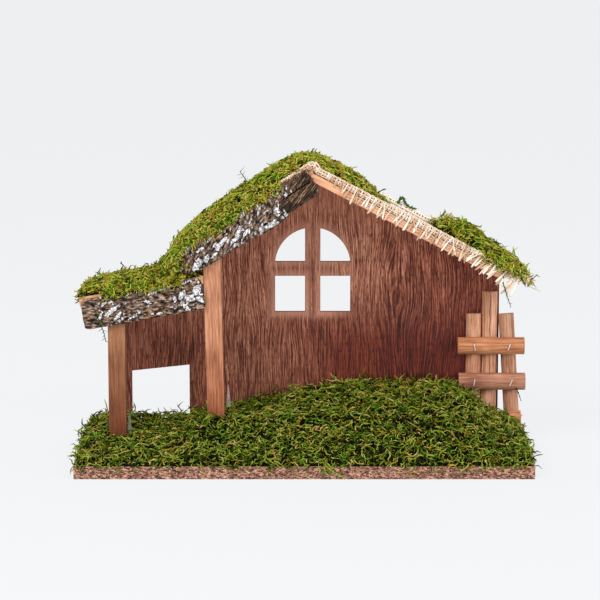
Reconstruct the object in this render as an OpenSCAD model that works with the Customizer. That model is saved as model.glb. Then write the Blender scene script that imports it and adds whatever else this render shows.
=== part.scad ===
// A wooden nativity stable: a plywood back wall and side bay on a chipboard base,
// with thin roof boards, bark trim, a woven fibre mat, moss and a small stick fence.
// X runs left to right, Y front to back, Z up. The origin is the middle of the base's underside.

/* [Base board] */
// Width of the base board
base_w = 300; // [285:5:330]
// Depth of the base board
base_d = 120; // [115:1:140]
// Thickness of the base board
base_t = 8.5; // [6:0.5:12]

/* [Walls] */
// Thickness of the plywood walls
wall_t = 3; // [2.6:0.1:4]
// Strip of base board left behind the walls
wall_back_inset = 7; // [3:0.5:10]
// Right edge of the back wall in from the end of the base
wall_right_inset = 15; // [13:0.5:16]
// Left edge of the side bay's wall in from the end of the base
bay_wall_inset = 17.5; // [15:0.5:19]

/* [Window] */
// Half the width of the window, and the radius of its arch
window_r = 26; // [20:0.5:28]
// Top of the arch below the ridge
arch_drop = 37.9; // [34:0.1:50]
// Height of the two lower lights
light_h = 25; // [18:1:28]
// Width of the upright bar
bar_w = 10.6; // [8:0.2:12]
// Height of the cross bar
bar_h = 10; // [8:0.5:12]
// Centre of the arch above the lower lights
arch_lift = 7.6; // [6:0.2:8]

/* [Doorway] */
// Width of the doorway in the side bay's wall
door_w = 40; // [34:1:42]
// Height of the doorway above the base board, at its middle
door_h = 44.5; // [38:0.5:52]
// Slope of the doorway's head, in degrees
door_slope = 6; // [0:0.5:9]

/* [Posts] */
// Width of the square posts, seen from the front
post_w = 11.3; // [9:0.1:12]
// Depth of the square posts
post_d = 11; // [9:0.5:12]
// Foot of the middle post in from the left end of the base
mid_post_inset = 91.5; // [86:0.5:96]
// Lean of the middle post to the left, in degrees
mid_post_lean = 1.2; // [0:0.1:1.6]
// Left post in from the left end of the base
left_post_inset = 25; // [23:0.5:28]

/* [Roof] */
// Thickness of the roof boards
roof_t = 5; // [4:0.2:6]
// Underside of the right board at the ridge, above the base's underside
ridge_h = 189; // [180:1:200]
// The ridge to the right of the middle of the base
ridge_shift = 6; // [3:0.5:10]
// The left board stands this much higher at the ridge
ridge_step = 3; // [2:0.25:3.5]
// Pitch of the left board, in degrees
left_pitch = 33.5; // [32:0.25:35]
// Pitch of the right board, in degrees
right_pitch = 27.5; // [26:0.25:28.5]
// The lower end of the left board past the foot of the middle post
left_roof_overhang = 16.6; // [12:0.2:20]
// The lower end of the right board in from the right edge of the back wall
right_roof_setback = 4.4; // [2:0.1:10]
// Front edge of the roof in from the front of the base
roof_front_inset = 48; // [44:1:52]
// The roof boards past the back of the walls
roof_back_overhang = 2; // [0:0.5:4]

/* [Side bay roof] */
// Top of the side bay's board below the lower end of the left board
eave_gap = 10.5; // [10:0.1:14]
// Pitch of the side bay's board, in degrees
bay_pitch = 10; // [8:0.25:11]
// The lower end of the side bay's board past the side bay's wall
bay_roof_overhang = 16.6; // [12:0.2:18]

/* [Bark] */
// Thickness of the bark slabs
bark_t = 4; // [3:0.25:5]
// Thickness of the thin strip of bark by the ridge
strip_t = 3.2; // [2:0.2:4]
// Bark above the underside of the boards
bark_rise = 8; // [6.5:0.25:9]
// Main bark below the underside of its board
bark_drop = 12; // [10:0.5:14]
// Bark of the side bay below the underside of its board
bay_bark_drop = 18; // [14:0.5:20]
// Bark of the side bay above the underside of its board
bay_bark_rise = 4.4; // [3.5:0.1:5]
// Waviness of the bark's edges
bark_wave = 0.9; // [0.2:0.1:1.2]
// Length of the strip of bark by the ridge
strip_len = 27; // [20:1:34]
// Height of the strip of bark by the ridge
strip_h = 11; // [8:0.5:12]

/* [Mat] */
// Thickness of the woven mat
mat_t = 1.5; // [1:0.1:2]
// Radius of the rolled hems along the front and back of the mat
hem_r = 2.6; // [2.2:0.1:3]
// The mat past the ridge, down the left board
mat_lap = 26; // [18:1:32]
// The mat past the end of the right board
mat_overhang = 17.5; // [10:0.5:20]
// Width of a strand of the fringe
strand_w = 1.7; // [1.2:0.1:2]
// Thickness of a strand of the fringe
strand_t = 0.9; // [0.6:0.1:1]
// Spacing of the strands of the fringe
strand_step = 3.4; // [3:0.1:4]
// Length of the fringe near the ridge, measured from the hem
fringe_len = 7; // [6:0.5:9]
// Extra length of the fringe at the eave
fringe_extra = 8; // [4:0.5:10]

/* [Moss] */
// Height of the moss bed at the back wall, above the base board
bed_h = 33; // [26:1:36]
// Height of the moss bed along its outer edges
bed_edge_h = 2.5; // [1.5:0.25:4]
// Extra height of the mound in front of the middle post
mound_h = 9; // [4:0.5:11]
// Reach of that mound
mound_r = 22; // [14:1:28]
// Thickness of the ridge moss on the left board, measured straight up
ridge_moss_h = 19; // [13:0.5:21]
// Thickness of the ridge moss above the right board, measured straight up
ridge_moss_right_h = 15; // [11:0.5:17]
// Rounding of the moss over the ridge
ridge_round = 10; // [6:0.5:12]
// Thickness of the moss on the side bay's roof, measured straight up
bay_moss_h = 8.5; // [6:0.5:9]
// Thickness of the moss clump at the right eave, measured straight up
eave_moss_h = 13; // [9:0.5:15]
// Thickness of the roof moss at its outer edges
moss_edge_h = 1.8; // [1:0.1:3]
// The ridge moss down the right slope, measured level
ridge_moss_right = 44; // [30:1:52]
// The ridge moss past the lower end of the left board, measured level
ridge_moss_left = 5; // [2:0.5:7]
// Length of the eave moss, measured level
eave_moss_len = 62; // [45:1:70]

/* [Fence] */
// Width of the half-round upright sticks
stick_w = 10.6; // [9:0.2:11.4]
// Top of the tall stick below the underside of the roof
tall_stick_drop = 15.5; // [12:0.1:24]
// The outer sticks shorter than the tall one
outer_stick_drop = 15.5; // [8:0.1:24]
// Gap between the left and the tall stick
stick_gap = 0.3; // [0.3:0.1:0.6]
// Gap between the top of the right stick and the tall stick
right_stick_gap = 0.8; // [0.5:0.1:1.2]
// The foot of the right stick past the right end of the base
right_foot_overhang = 0.7; // [0:0.1:1.5]
// Lean of the right stick to the left, in degrees
right_stick_lean = 3.8; // [2:0.1:4.4]
// Height of the half-round rails
rail_w = 12; // [9:0.25:13]
// The rails past the left side of the left stick
rail_left_overhang = 6.1; // [4:0.1:8]
// The rails past the right end of the base
rail_overhang = 2.2; // [0:0.2:4]
// Middle of the top rail, as a share of the height of the outer sticks
rail_top_share = 0.735; // [0.68:0.005:0.8]
// Middle of the bottom rail above the base board
rail_bottom_h = 9.4; // [8:0.2:14]

/* [Fasteners and glue] */
// Width of a staple across its crown
staple_w = 5; // [4:0.1:6]
// Diameter of the staple wire
staple_wire = 0.7; // [0.5:0.05:0.9]
// Depth of the staple's legs behind the front of the rail
staple_leg = 8; // [7:0.1:8.5]
// Diameter of the brads
brad_d = 1.2; // [0.9:0.05:1.4]
// Length of the brads
brad_len = 16; // [14:0.5:18]
// Radius of a bead of glue
glue_r = 1.9; // [1.4:0.1:2.2]
// Length of a bead of glue
glue_len = 15; // [10:0.5:18]
// Side of the glue fillet along the foot of the back wall
glue_side = 3; // [2:0.25:3.5]

/* [Hidden] */
$fn = 48;

// Clearances: between seated pieces, round soft pieces, round a driven wire, and past a cut
seat_gap = 0.1;
soft_gap = 0.3;
wire_gap = 0.05;
overrun = 1;

// Colours of the finishes
plywood = [0.45, 0.25, 0.19];
softwood = [0.76, 0.52, 0.36];
board_wood = [0.85, 0.62, 0.42];
chipboard = [0.52, 0.33, 0.27];
bark_brown = [0.36, 0.30, 0.26];
moss_green = [0.34, 0.40, 0.12];
jute_tan = [0.90, 0.76, 0.58];
stick_wood = [0.72, 0.48, 0.34];

// Planes and lines that several pieces share
base_x = base_w / 2;
base_y = base_d / 2;
wall_back_y = base_y - wall_back_inset;
wall_front_y = wall_back_y - wall_t;
wall_mid_y = wall_back_y - wall_t / 2;
roof_front_y = roof_front_inset - base_y;
roof_back_y = wall_back_y + roof_back_overhang;
ridge_x = ridge_shift;
wall_right_x = base_x - wall_right_inset;
bay_wall_x = bay_wall_inset - base_x;
mid_post_x = mid_post_inset - base_x;
left_post_x = left_post_inset - base_x;
post_mid_y = roof_front_y + post_d / 2;

// Lower end of the left board, and its length along its underside
post_slope = tan(mid_post_lean);
eave_x = mid_post_x - post_w / 2 - left_roof_overhang;
left_roof_len = (ridge_x - eave_x) / cos(left_pitch);
right_roof_len = (wall_right_x - right_roof_setback - ridge_x) / cos(right_pitch);
eave_z = ridge_h + ridge_step - (ridge_x - eave_x) * tan(left_pitch);

// Left face of the middle post at height z. The side bay's board butts against it with its
// upper end, so high that its top lies the eave gap below the left board's lower end
function mid_post_left(z) = mid_post_x - post_w / 2 - (z - base_t) * post_slope;
bay_roof_h = (eave_z - eave_gap - roof_t / cos(bay_pitch)
    + (mid_post_left(roof_t) - soft_gap - eave_x) * tan(bay_pitch))
    / (1 + post_slope * tan(bay_pitch));
bay_end_x = mid_post_left(bay_roof_h + roof_t) - soft_gap;
bay_roof_len = (bay_end_x - bay_wall_x + bay_roof_overhang) / cos(bay_pitch);
wall_split_x = bay_end_x + seat_gap;

// Height at x of a surface n above the underside of each board
function left_z(x, n = 0) =
    ridge_h + ridge_step - (ridge_x - x) * tan(left_pitch) + n / cos(left_pitch);
function right_z(x, n = 0) = ridge_h - (x - ridge_x) * tan(right_pitch) + n / cos(right_pitch);
function bay_z(x, n = 0) = bay_roof_h - (bay_end_x - x) * tan(bay_pitch) + n / cos(bay_pitch);

// A point a along each slope, down from its upper end, and n above the board's underside
function left_at(a, n) = [
    ridge_x - a * cos(left_pitch) - n * sin(left_pitch),
    ridge_h + ridge_step - a * sin(left_pitch) + n * cos(left_pitch)
];
function right_at(a, n) = [
    ridge_x + a * cos(right_pitch) + n * sin(right_pitch),
    ridge_h - a * sin(right_pitch) + n * cos(right_pitch)
];
function bay_at(a, n) = [
    bay_end_x - a * cos(bay_pitch) - n * sin(bay_pitch),
    bay_roof_h - a * sin(bay_pitch) + n * cos(bay_pitch)
];

// Draws its flat child, whose axes are X and Z, as a slab from front to back
module slab(front, back) {
    translate([0, back, 0]) rotate([90, 0, 0]) linear_extrude(back - front) children();
}

// The axes of each slope: X along it, Z square to the board's underside
module on_left_slope() {
    translate([ridge_x, 0, ridge_h + ridge_step]) rotate([0, -left_pitch, 0]) children();
}
module on_right_slope() {
    translate([ridge_x, 0, ridge_h]) rotate([0, right_pitch, 0]) children();
}
module on_bay_slope() {
    translate([bay_end_x, 0, bay_roof_h]) rotate([0, -bay_pitch, 0]) children();
}

// Brads: each place is where the brad's middle line crosses the underside of the board,
// as a distance along the slope, and its depth from front to back
brad_shift = (brad_len - roof_t) / 2 * tan(left_pitch);
mid_post_top_x = mid_post_x - (left_z(mid_post_x) - base_t) * post_slope;
left_wall_brad_shares = [0.2, 0.55];
right_wall_brad_shares = [0.15, 0.45, 0.75];
bay_wall_brad_shares = [0.2, 0.66];
left_brads = concat(
    [for (s = left_wall_brad_shares) [-s * left_roof_len, wall_mid_y]],
    [[(mid_post_top_x - brad_shift - ridge_x) / cos(left_pitch), post_mid_y]]
);
right_brads = [for (s = right_wall_brad_shares) [s * right_roof_len, wall_mid_y]];
bay_brads = concat(
    [for (s = bay_wall_brad_shares) [-s * bay_roof_len, wall_mid_y]],
    [[(left_post_x - bay_end_x) / cos(bay_pitch), post_mid_y]]
);
door_x = (bay_wall_x + wall_split_x) / 2;
door_leg = (wall_split_x - bay_wall_x - door_w) / 4;
back_wall_brad_shares = [0.12, 0.5, 0.82];
base_places = concat(
    [[mid_post_x, post_mid_y], [left_post_x, post_mid_y]],
    [for (s = back_wall_brad_shares)
        [wall_split_x + s * (wall_right_x - wall_split_x), wall_mid_y]],
    [for (side = [-1, 1]) [door_x + side * (door_w / 2 + door_leg), wall_mid_y]]
);

// The brads, or with grow above 0 the bores round them, which run out past the surface
module sloped_brads(places, grow) {
    for (p = places)
        translate([p[0], p[1], roof_t - seat_gap - brad_len - grow])
            cylinder(h = brad_len + grow + (grow > 0 ? overrun : 0), d = brad_d + 2 * grow);
}
module all_roof_brads(grow) {
    on_left_slope() sloped_brads(left_brads, grow);
    on_right_slope() sloped_brads(right_brads, grow);
    on_bay_slope() sloped_brads(bay_brads, grow);
}
module all_base_brads(grow) {
    for (p = base_places)
        translate([p[0], p[1], soft_gap - (grow > 0 ? overrun : 0)])
            cylinder(h = brad_len + (grow > 0 ? overrun : 0) + grow, d = brad_d + 2 * grow);
}

// Base board and walls
module base_board() {
    color(chipboard) difference() {
        translate([-base_x, -base_y, 0]) cube([base_w, base_d, base_t]);
        all_base_brads(wire_gap);
    }
}

arch_z = ridge_h - arch_drop - window_r;
sill_z = arch_z - arch_lift - light_h;
light_w = window_r - bar_w / 2;

// One light of the window on each side of the upright bar
module window_lights() {
    for (side = [-1, 1])
        translate([ridge_x + side * (bar_w + light_w) / 2, sill_z + light_h / 2])
            square([light_w, light_h], center = true);
    difference() {
        translate([ridge_x, arch_z]) circle(r = window_r, $fn = 96);
        translate([ridge_x - window_r - overrun, sill_z])
            square([2 * (window_r + overrun), light_h + bar_h]);
        translate([ridge_x - bar_w / 2, sill_z]) square([bar_w, light_h + 2 * window_r]);
    }
}

module back_wall() {
    color(plywood) difference() {
        slab(wall_front_y, wall_back_y) difference() {
            polygon([
                [wall_split_x, base_t], [wall_right_x, base_t],
                [wall_right_x, right_z(wall_right_x)], [ridge_x, ridge_h],
                [ridge_x, ridge_h + ridge_step], [wall_split_x, left_z(wall_split_x)]
            ]);
            window_lights();
        }
        all_base_brads(wire_gap);
        all_roof_brads(wire_gap);
    }
}

module lean_to_wall() {
    right = wall_split_x - seat_gap;
    rise = door_w / 2 * tan(door_slope);
    color(plywood) difference() {
        slab(wall_front_y, wall_back_y) difference() {
            polygon([
                [bay_wall_x, base_t], [right, base_t],
                [right, bay_z(right)], [bay_wall_x, bay_z(bay_wall_x)]
            ]);
            polygon([
                [door_x - door_w / 2, base_t - overrun], [door_x + door_w / 2, base_t - overrun],
                [door_x + door_w / 2, base_t + door_h + rise],
                [door_x - door_w / 2, base_t + door_h - rise]
            ]);
        }
        all_base_brads(wire_gap);
        all_roof_brads(wire_gap);
    }
}

// Outline of the leaning middle post, grown by a clearance; its head follows the board
module mid_post_outline(grow) {
    left = mid_post_x - post_w / 2 - grow;
    right = mid_post_x + post_w / 2 + grow;
    // Where each leaning face meets the underside of the board
    function head(foot) =
        let (z = (left_z(foot) + base_t * post_slope * tan(left_pitch))
            / (1 + post_slope * tan(left_pitch)))
        [foot - (z - base_t) * post_slope, z];
    polygon([[left, base_t], [right, base_t], head(right), head(left)]);
}

module mid_post() {
    color(softwood) difference() {
        slab(roof_front_y, roof_front_y + post_d) mid_post_outline(0);
        all_base_brads(wire_gap);
        all_roof_brads(wire_gap);
    }
}

module left_post_outline(grow) {
    left = left_post_x - post_w / 2 - grow;
    right = left_post_x + post_w / 2 + grow;
    polygon([[left, base_t], [right, base_t], [right, bay_z(right)], [left, bay_z(left)]]);
}

module left_post() {
    color(softwood) difference() {
        slab(roof_front_y, roof_front_y + post_d) left_post_outline(0);
        all_base_brads(wire_gap);
        all_roof_brads(wire_gap);
    }
}

// Roof boards: mitred upright at the ridge, sawn square at their lower ends
module roof_board_left() {
    color(board_wood) difference() {
        slab(roof_front_y, roof_back_y) polygon([
            left_at(0, 0), [ridge_x, left_z(ridge_x, roof_t)],
            left_at(left_roof_len, roof_t), left_at(left_roof_len, 0)
        ]);
        on_left_slope() sloped_brads(left_brads, wire_gap);
    }
}

module roof_board_right() {
    color(board_wood) difference() {
        slab(roof_front_y, roof_back_y) polygon([
            right_at(0, 0), right_at(right_roof_len, 0),
            right_at(right_roof_len, roof_t), [ridge_x, right_z(ridge_x, roof_t)]
        ]);
        on_right_slope() sloped_brads(right_brads, wire_gap);
    }
}

module roof_board_lean_to() {
    color(board_wood) difference() {
        slab(roof_front_y, roof_back_y) polygon([
            bay_at(0, 0), [bay_end_x, bay_z(bay_end_x, roof_t)],
            bay_at(bay_roof_len, roof_t), bay_at(bay_roof_len, 0)
        ]);
        on_bay_slope() sloped_brads(bay_brads, wire_gap);
    }
}

// Bark: slabs with wavy edges, stuck to the front edges of the boards
bark_steps = 16;
bark_back_y = roof_front_y - seat_gap;
wave_turns = [97, 151];
main_bark_seed = 20;
bay_bark_seed = 75;
function wave(i, seed) =
    bark_wave * (sin(i * wave_turns[0] + seed) + sin(i * wave_turns[1] + 2 * seed)) / 2;

// A wavy band, len long, from -drop to rise, running to the left of the slope's upper end
module bark_band(len, drop, rise, seed, cut) {
    lower = [for (i = [0:bark_steps])
        [-len * i / bark_steps + cut * i / bark_steps, -drop + wave(i, seed)]];
    upper = [for (i = [bark_steps:-1:0])
        [-len * i / bark_steps, rise + wave(i, 3 * seed)]];
    polygon(concat(lower, upper));
}

main_bark_len = left_roof_len + bark_rise;
main_bark_cut = bark_drop / 2;

module strip_outline(grow) {
    translate([-strip_len - grow, -bark_drop - bark_wave - grow])
        square([strip_len + 2 * grow + overrun, strip_h + bark_wave + 2 * grow]);
}

module bark_main() {
    color(bark_brown) difference() {
        on_left_slope() slab(bark_back_y - bark_t, bark_back_y) difference() {
            bark_band(main_bark_len, bark_drop, bark_rise, main_bark_seed, main_bark_cut);
            strip_outline(seat_gap);
        }
        // Trimmed where it comes down on the side bay's roof
        on_bay_slope() translate([-bay_roof_len, bark_back_y - bark_t - overrun, -bay_bark_drop])
            cube([bay_roof_len + overrun, bark_t + 2 * overrun,
                bay_bark_drop + roof_t + bark_wave]);
    }
}

module bark_ridge_strip() {
    color(bark_brown) on_left_slope() slab(bark_back_y - strip_t, bark_back_y) intersection() {
        strip_outline(0);
        bark_band(main_bark_len, bark_drop, bark_rise, main_bark_seed, main_bark_cut);
    }
}

module bark_lean_to() {
    color(bark_brown) on_bay_slope() slab(bark_back_y - bark_t, bark_back_y)
        intersection() {
            bark_band(bay_roof_len, bay_bark_drop, bay_bark_rise, bay_bark_seed, 0);
            translate([-bay_roof_len, -bay_bark_drop - 2 * bark_wave])
                square([bay_roof_len, bay_bark_drop + bay_bark_rise + 4 * bark_wave]);
        }
}

// Mat: a sheet over the ridge and down the right board, a rolled hem along its front
// and back, and in front of the board's edge a net of strands that ends in a fringe
mat_low = roof_t + seat_gap;
mat_high = mat_low + mat_t;
mat_len = right_roof_len + mat_overhang;
hem_n = mat_low - seat_gap / 2 + hem_r;
hem_front_y = roof_front_y - mat_t + hem_r;
hem_back_y = roof_back_y - hem_r;
strand_n = floor((mat_len - 2 * strand_step) / strand_step);
eave_share = 0.72;

// Lean of the strands in degrees: their spread, near the ridge, and at the eave
lean_spread = 14;
ridge_lean = 4;
eave_lean = 24;
strand_turn = 107;
net_rows = 2;

module mat_sheet() {
    inner_x = ridge_x + seat_gap;
    slab(hem_front_y, hem_back_y) polygon([
        left_at(mat_lap, mat_low), left_at(mat_lap, mat_high),
        [inner_x + mat_t, left_z(inner_x, mat_high)],
        [inner_x + mat_t, right_z(inner_x + mat_t, mat_high)],
        right_at(mat_len, mat_high), right_at(mat_len, mat_low),
        [inner_x, right_z(inner_x, mat_low)], [inner_x, left_z(inner_x, mat_low)]
    ]);
}

// Length and lean of one strand: short and upright near the ridge, long and slanted at the eave
function strand_len(s) =
    fringe_len + (s > eave_share ? fringe_extra * (s - eave_share) / (1 - eave_share) : 0);
function strand_lean(i, s) =
    lean_spread * sin(i * strand_turn) - (s > eave_share ? eave_lean : ridge_lean);

module mat_net() {
    for (i = [0:strand_n - 1]) {
        s = i / strand_n;
        translate([(i + 1.5) * strand_step, hem_n])
            rotate(strand_lean(i, s) - 90)
                translate([0, -strand_w / 2])
                    square([strand_len(s) + strand_w * sin(2 * i * strand_turn), strand_w]);
    }
    for (k = [1:net_rows])
        translate([mat_len / 2, hem_n - hem_r - (k - 1 / 2) * (fringe_len - hem_r) / net_rows])
            square([mat_len - 3 * strand_step, strand_w / 2], center = true);
}

module jute_mat() {
    color(jute_tan) {
        mat_sheet();
        on_right_slope() {
            for (y = [hem_front_y, hem_back_y])
                translate([strand_step, y, hem_n])
                    rotate([0, 90, 0]) cylinder(h = mat_len - strand_step - seat_gap, r = hem_r);
            slab(roof_front_y - seat_gap - strand_t, roof_front_y - seat_gap) mat_net();
        }
    }
}

// Places of the fence: its sticks stand side by side from the right end of the base, and the
// tall one stops below the roof
stick_r = stick_w / 2;
stick_back_y = wall_front_y - seat_gap;
right_stick_x = base_x + right_foot_overhang - stick_r;
// The right stick's height decides how far its top leans, and the tall stick's place its height
stick_slope = tan(right_stick_lean);
tall_stick_h = (right_z(right_stick_x - right_stick_gap - stick_w + stick_r)
    - outer_stick_drop * stick_slope * tan(right_pitch) - tall_stick_drop - base_t)
    / (1 - stick_slope * tan(right_pitch));
stick_h = tall_stick_h - outer_stick_drop;
tall_stick_x = right_stick_x - stick_h * stick_slope - right_stick_gap - stick_w;
left_stick_x = tall_stick_x - stick_w - stick_gap;
rail_r = rail_w / 2;
rail_back_y = stick_back_y - stick_r - seat_gap;
rail_front_y = rail_back_y - rail_r;
rails_right_x = base_x + rail_overhang;
rail_len = rails_right_x - left_stick_x + stick_r + rail_left_overhang;
rail_shift_shares = [0, 0.02, -0.04];
middle_rail_share = 0.515;
rail_top_h = rail_top_share * stick_h;
rail_middle_h = rail_bottom_h + middle_rail_share * (rail_top_h - rail_bottom_h);
rail_heights = [rail_top_h, rail_middle_h, rail_bottom_h];

// Middle of the right, leaning stick at a height above the base board
function right_stick_at(h) = right_stick_x - h * stick_slope;

// Moss: a lumpy solid between two heights, on a grid of nx by ny cells.
// front, back and floor_z follow x; thick follows x and the share of the way to the back.
module moss_solid(x_low, x_high, nx, ny, front, back, floor_z, thick) {
    xs = [for (i = [0:nx]) x_low + (x_high - x_low) * i / nx];
    top = [for (x = xs) for (j = [0:ny])
        [x, front(x) + (back(x) - front(x)) * j / ny, floor_z(x) + thick(x, j / ny)]];
    bottom = [for (x = xs) each [[x, front(x), floor_z(x)], [x, back(x), floor_z(x)]]];
    at = function (i, j) i * (ny + 1) + j;
    under = function (i, k) len(top) + 2 * i + k;
    quad = function (a, b, c, d) [[a, b, c], [a, c, d]];
    faces = concat(
        [for (i = [0:nx - 1]) for (j = [0:ny - 1]) each
            quad(at(i, j), at(i, j + 1), at(i + 1, j + 1), at(i + 1, j))],
        [for (i = [0:nx - 1]) each
            quad(under(i, 1), under(i, 0), under(i + 1, 0), under(i + 1, 1))],
        [for (i = [0:nx - 1]) each quad(at(i, 0), at(i + 1, 0), under(i + 1, 0), under(i, 0))],
        [for (i = [0:nx - 1]) each
            quad(at(i + 1, ny), at(i, ny), under(i, 1), under(i + 1, 1))],
        [for (j = [0:ny - 1]) [under(0, 0), at(0, j + 1), at(0, j)]],
        [[under(0, 0), under(0, 1), at(0, ny)]],
        [for (j = [0:ny - 1]) [under(nx, 0), at(nx, j), at(nx, j + 1)]],
        [[under(nx, 0), at(nx, ny), under(nx, 1)]]
    );
    polyhedron(points = concat(top, bottom), faces = faces, convexity = 6);
}

// Lumps between -1 and 1, and a dome that is 0 at both ends of 0 to 1 and 1 between
lump_share = 0.07;
moss_lump = 18;
lump_turns = [70, 50, 140];
function lumps(x, y, pitch) =
    (sin(x * 360 / pitch + y * lump_turns[0])
        + sin(y * 360 / pitch - x * lump_turns[1]) * cos(x * lump_turns[2] / pitch)) / 2;
dome_power = 0.6;
function dome(s, blunt) = pow(max(0, 1 - pow(abs(2 * s - 1), blunt)), dome_power);

// Round section of the roof moss from front to back, and its lumps
section_start = 22;
section_power = 0.7;
roof_depth = roof_back_y - roof_front_y;
function section(s) = pow(sin(section_start + (180 - 2 * section_start) * s), section_power);
function dents(x, s) = 1 - lump_share * (1 - lumps(x, roof_depth * s, moss_lump));

// Heights of the bed as shares, by the share of the base's width and of its depth
bed_across_shares = [
    [-0.5, 0.1], [-0.45, 0.3], [-0.36, 0.3], [-0.27, 0.32], [-0.2, 0.5], [-0.13, 0.56],
    [0, 0.85], [0.1, 1], [0.3, 1], [0.36, 0.95], [0.42, 0.5], [0.47, 0.32], [0.5, 0.1]
];
bed_depth_shares = [
    [-0.5, 0], [-0.44, 0.18], [-0.3, 0.42], [-0.15, 0.68], [0.05, 0.86], [0.3, 0.97], [0.5, 1]
];
function bed_height(x, y) =
    bed_edge_h
    + bed_h * lookup(x / base_w, bed_across_shares) * lookup(y / base_d, bed_depth_shares)
        * (1 + lump_share * lumps(x, y, moss_lump))
    + mound_h * exp(-(pow(x - mid_post_x, 2) + pow(y - roof_front_y, 2)) / pow(mound_r, 2));

bed_margin = 1.5;
fence_left_x = rails_right_x + (min(rail_shift_shares) - 1) * rail_len - soft_gap;
bed_cells = [40, 16];
bed_cell = (base_w - 2 * bed_margin) / bed_cells[0];

module moss_bed() {
    front = function (x) bed_margin / 2 * (1 + lumps(x, 0, moss_lump)) - base_y;
    back = function (x)
        x < bay_wall_x - bed_cell ? base_y - bed_margin
        : x > fence_left_x - bed_cell ? rail_front_y - soft_gap
        : wall_front_y - glue_side - 2 * soft_gap;
    color(moss_green) difference() {
        moss_solid(
            bed_margin - base_x, base_x - bed_margin, bed_cells[0], bed_cells[1], front, back,
            function (x) base_t + seat_gap,
            function (x, s) bed_height(x, front(x) + s * (back(x) - front(x))) - seat_gap
        );
        slab(roof_front_y - soft_gap, roof_front_y + post_d + soft_gap) {
            mid_post_outline(soft_gap);
            left_post_outline(soft_gap);
        }
        for (p = glue_places)
            translate([p[0], p[1], p[2]]) cylinder(h = glue_len + bed_h, r = glue_r + soft_gap);
    }
}

// The underside of the roof moss follows the boards, and the mat where it lies on it
lap_x = left_at(mat_lap, roof_t)[0];
ridge_moss_low_x = left_at(left_roof_len, roof_t)[0] - ridge_moss_left;
ridge_cells = [30, 10];
ridge_cell = (ridge_x + ridge_moss_right - ridge_moss_low_x) / ridge_cells[0];

module moss_ridge() {
    x_low = ridge_moss_low_x;
    x_high = ridge_x + ridge_moss_right;
    hem = 2 * hem_r + soft_gap;
    front = function (x)
        x > ridge_x - 2 * ridge_cell ? hem_front_y + hem_r + soft_gap : roof_front_y;
    back = function (x) x > ridge_x - 2 * ridge_cell ? roof_back_y - hem : roof_back_y;
    bed = function (x)
        x > ridge_x ? max(right_z(x, mat_high), left_z(ridge_x, mat_high)
            - (x - ridge_x) * (tan(right_pitch) + ridge_step / ridge_cell / 2))
        : left_z(x, x > lap_x - 1.5 * ridge_cell ? mat_high : roof_t);
    along = function (x) (x - x_low) / (x_high - x_low);
    // Height of the crown over x: the two slopes, rounded into each other at the ridge
    crown = function (x)
        let (low = right_z(x, roof_t) + ridge_moss_right_h, high = left_z(x, roof_t) + ridge_moss_h)
        -ridge_round * ln(exp(-low / ridge_round) + exp(-high / ridge_round));
    color(moss_green) moss_solid(
        x_low, x_high, ridge_cells[0], ridge_cells[1], front, back,
        function (x) bed(x) + soft_gap,
        function (x, s) moss_edge_h + (crown(x) - bed(x) - soft_gap - moss_edge_h)
            * dome(along(x), 6) * section(s) * dents(x, s)
    );
}

bay_cells = [18, 8];

module moss_lean_to() {
    x_low = bay_at(bay_roof_len, roof_t)[0] - bed_margin;
    x_high = bay_end_x - bed_margin;
    along = function (x) (x - x_low) / (x_high - x_low);
    color(moss_green) moss_solid(
        x_low, x_high, bay_cells[0], bay_cells[1],
        function (x) roof_front_y, function (x) roof_back_y,
        function (x) bay_z(x, roof_t) + soft_gap,
        function (x, s) moss_edge_h + (bay_moss_h - moss_edge_h)
            * dome(along(x), 5) * section(s) * dents(x, s)
    );
}

// The eave moss starts near the back and widens to the front over its first part
eave_cells = [14, 8];
eave_start_share = 0.75;
eave_widen_share = 1 / 3;

module moss_eave() {
    x_high = right_at(mat_len, mat_high)[0] + bed_margin;
    x_low = x_high - eave_moss_len;
    along = function (x) (x - x_low) / (x_high - x_low);
    y_low = hem_front_y + hem_r + soft_gap;
    y_high = hem_back_y - hem_r - soft_gap;
    color(moss_green) moss_solid(
        x_low, x_high, eave_cells[0], eave_cells[1],
        function (x) y_low
            + (y_high - y_low) * eave_start_share * max(0, 1 - along(x) / eave_widen_share),
        function (x) y_high,
        function (x) right_z(x, mat_high) + soft_gap,
        function (x, s) moss_edge_h + (eave_moss_h - moss_edge_h)
            * dome(pow(along(x), dome_power), 3) * section(s) * dents(x, s)
    );
}

// Fence: half-round sticks with their flat backs to the wall, and rails across their fronts
// Staples: middle of the crown, height above the base board, and tilt in degrees
staple_places = [
    [right_stick_at(rail_top_h), rail_top_h, 18],
    [right_stick_at(rail_middle_h), rail_middle_h, 24],
    [left_stick_x, rail_top_h, -12],
    [left_stick_x, rail_middle_h, 10],
    [left_stick_x, rail_bottom_h, -6]
];
staple_y = rail_front_y - staple_wire / 2 - wire_gap;

module staple(place, grow) {
    d = staple_wire + 2 * grow;
    reach = (staple_w - staple_wire) / 2;
    translate([place[0], staple_y, base_t + place[1]]) rotate([0, place[2], 0]) {
        for (side = [-1, 1]) translate([0, 0, side * reach]) {
            rotate([-90, 0, 0]) cylinder(h = staple_leg + grow, d = d, $fn = 16);
            sphere(d = d, $fn = 16);
        }
        translate([0, 0, -reach]) cylinder(h = 2 * reach, d = d, $fn = 16);
    }
}
module all_staples(grow) {
    for (p = staple_places) staple(p, grow);
}
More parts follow.
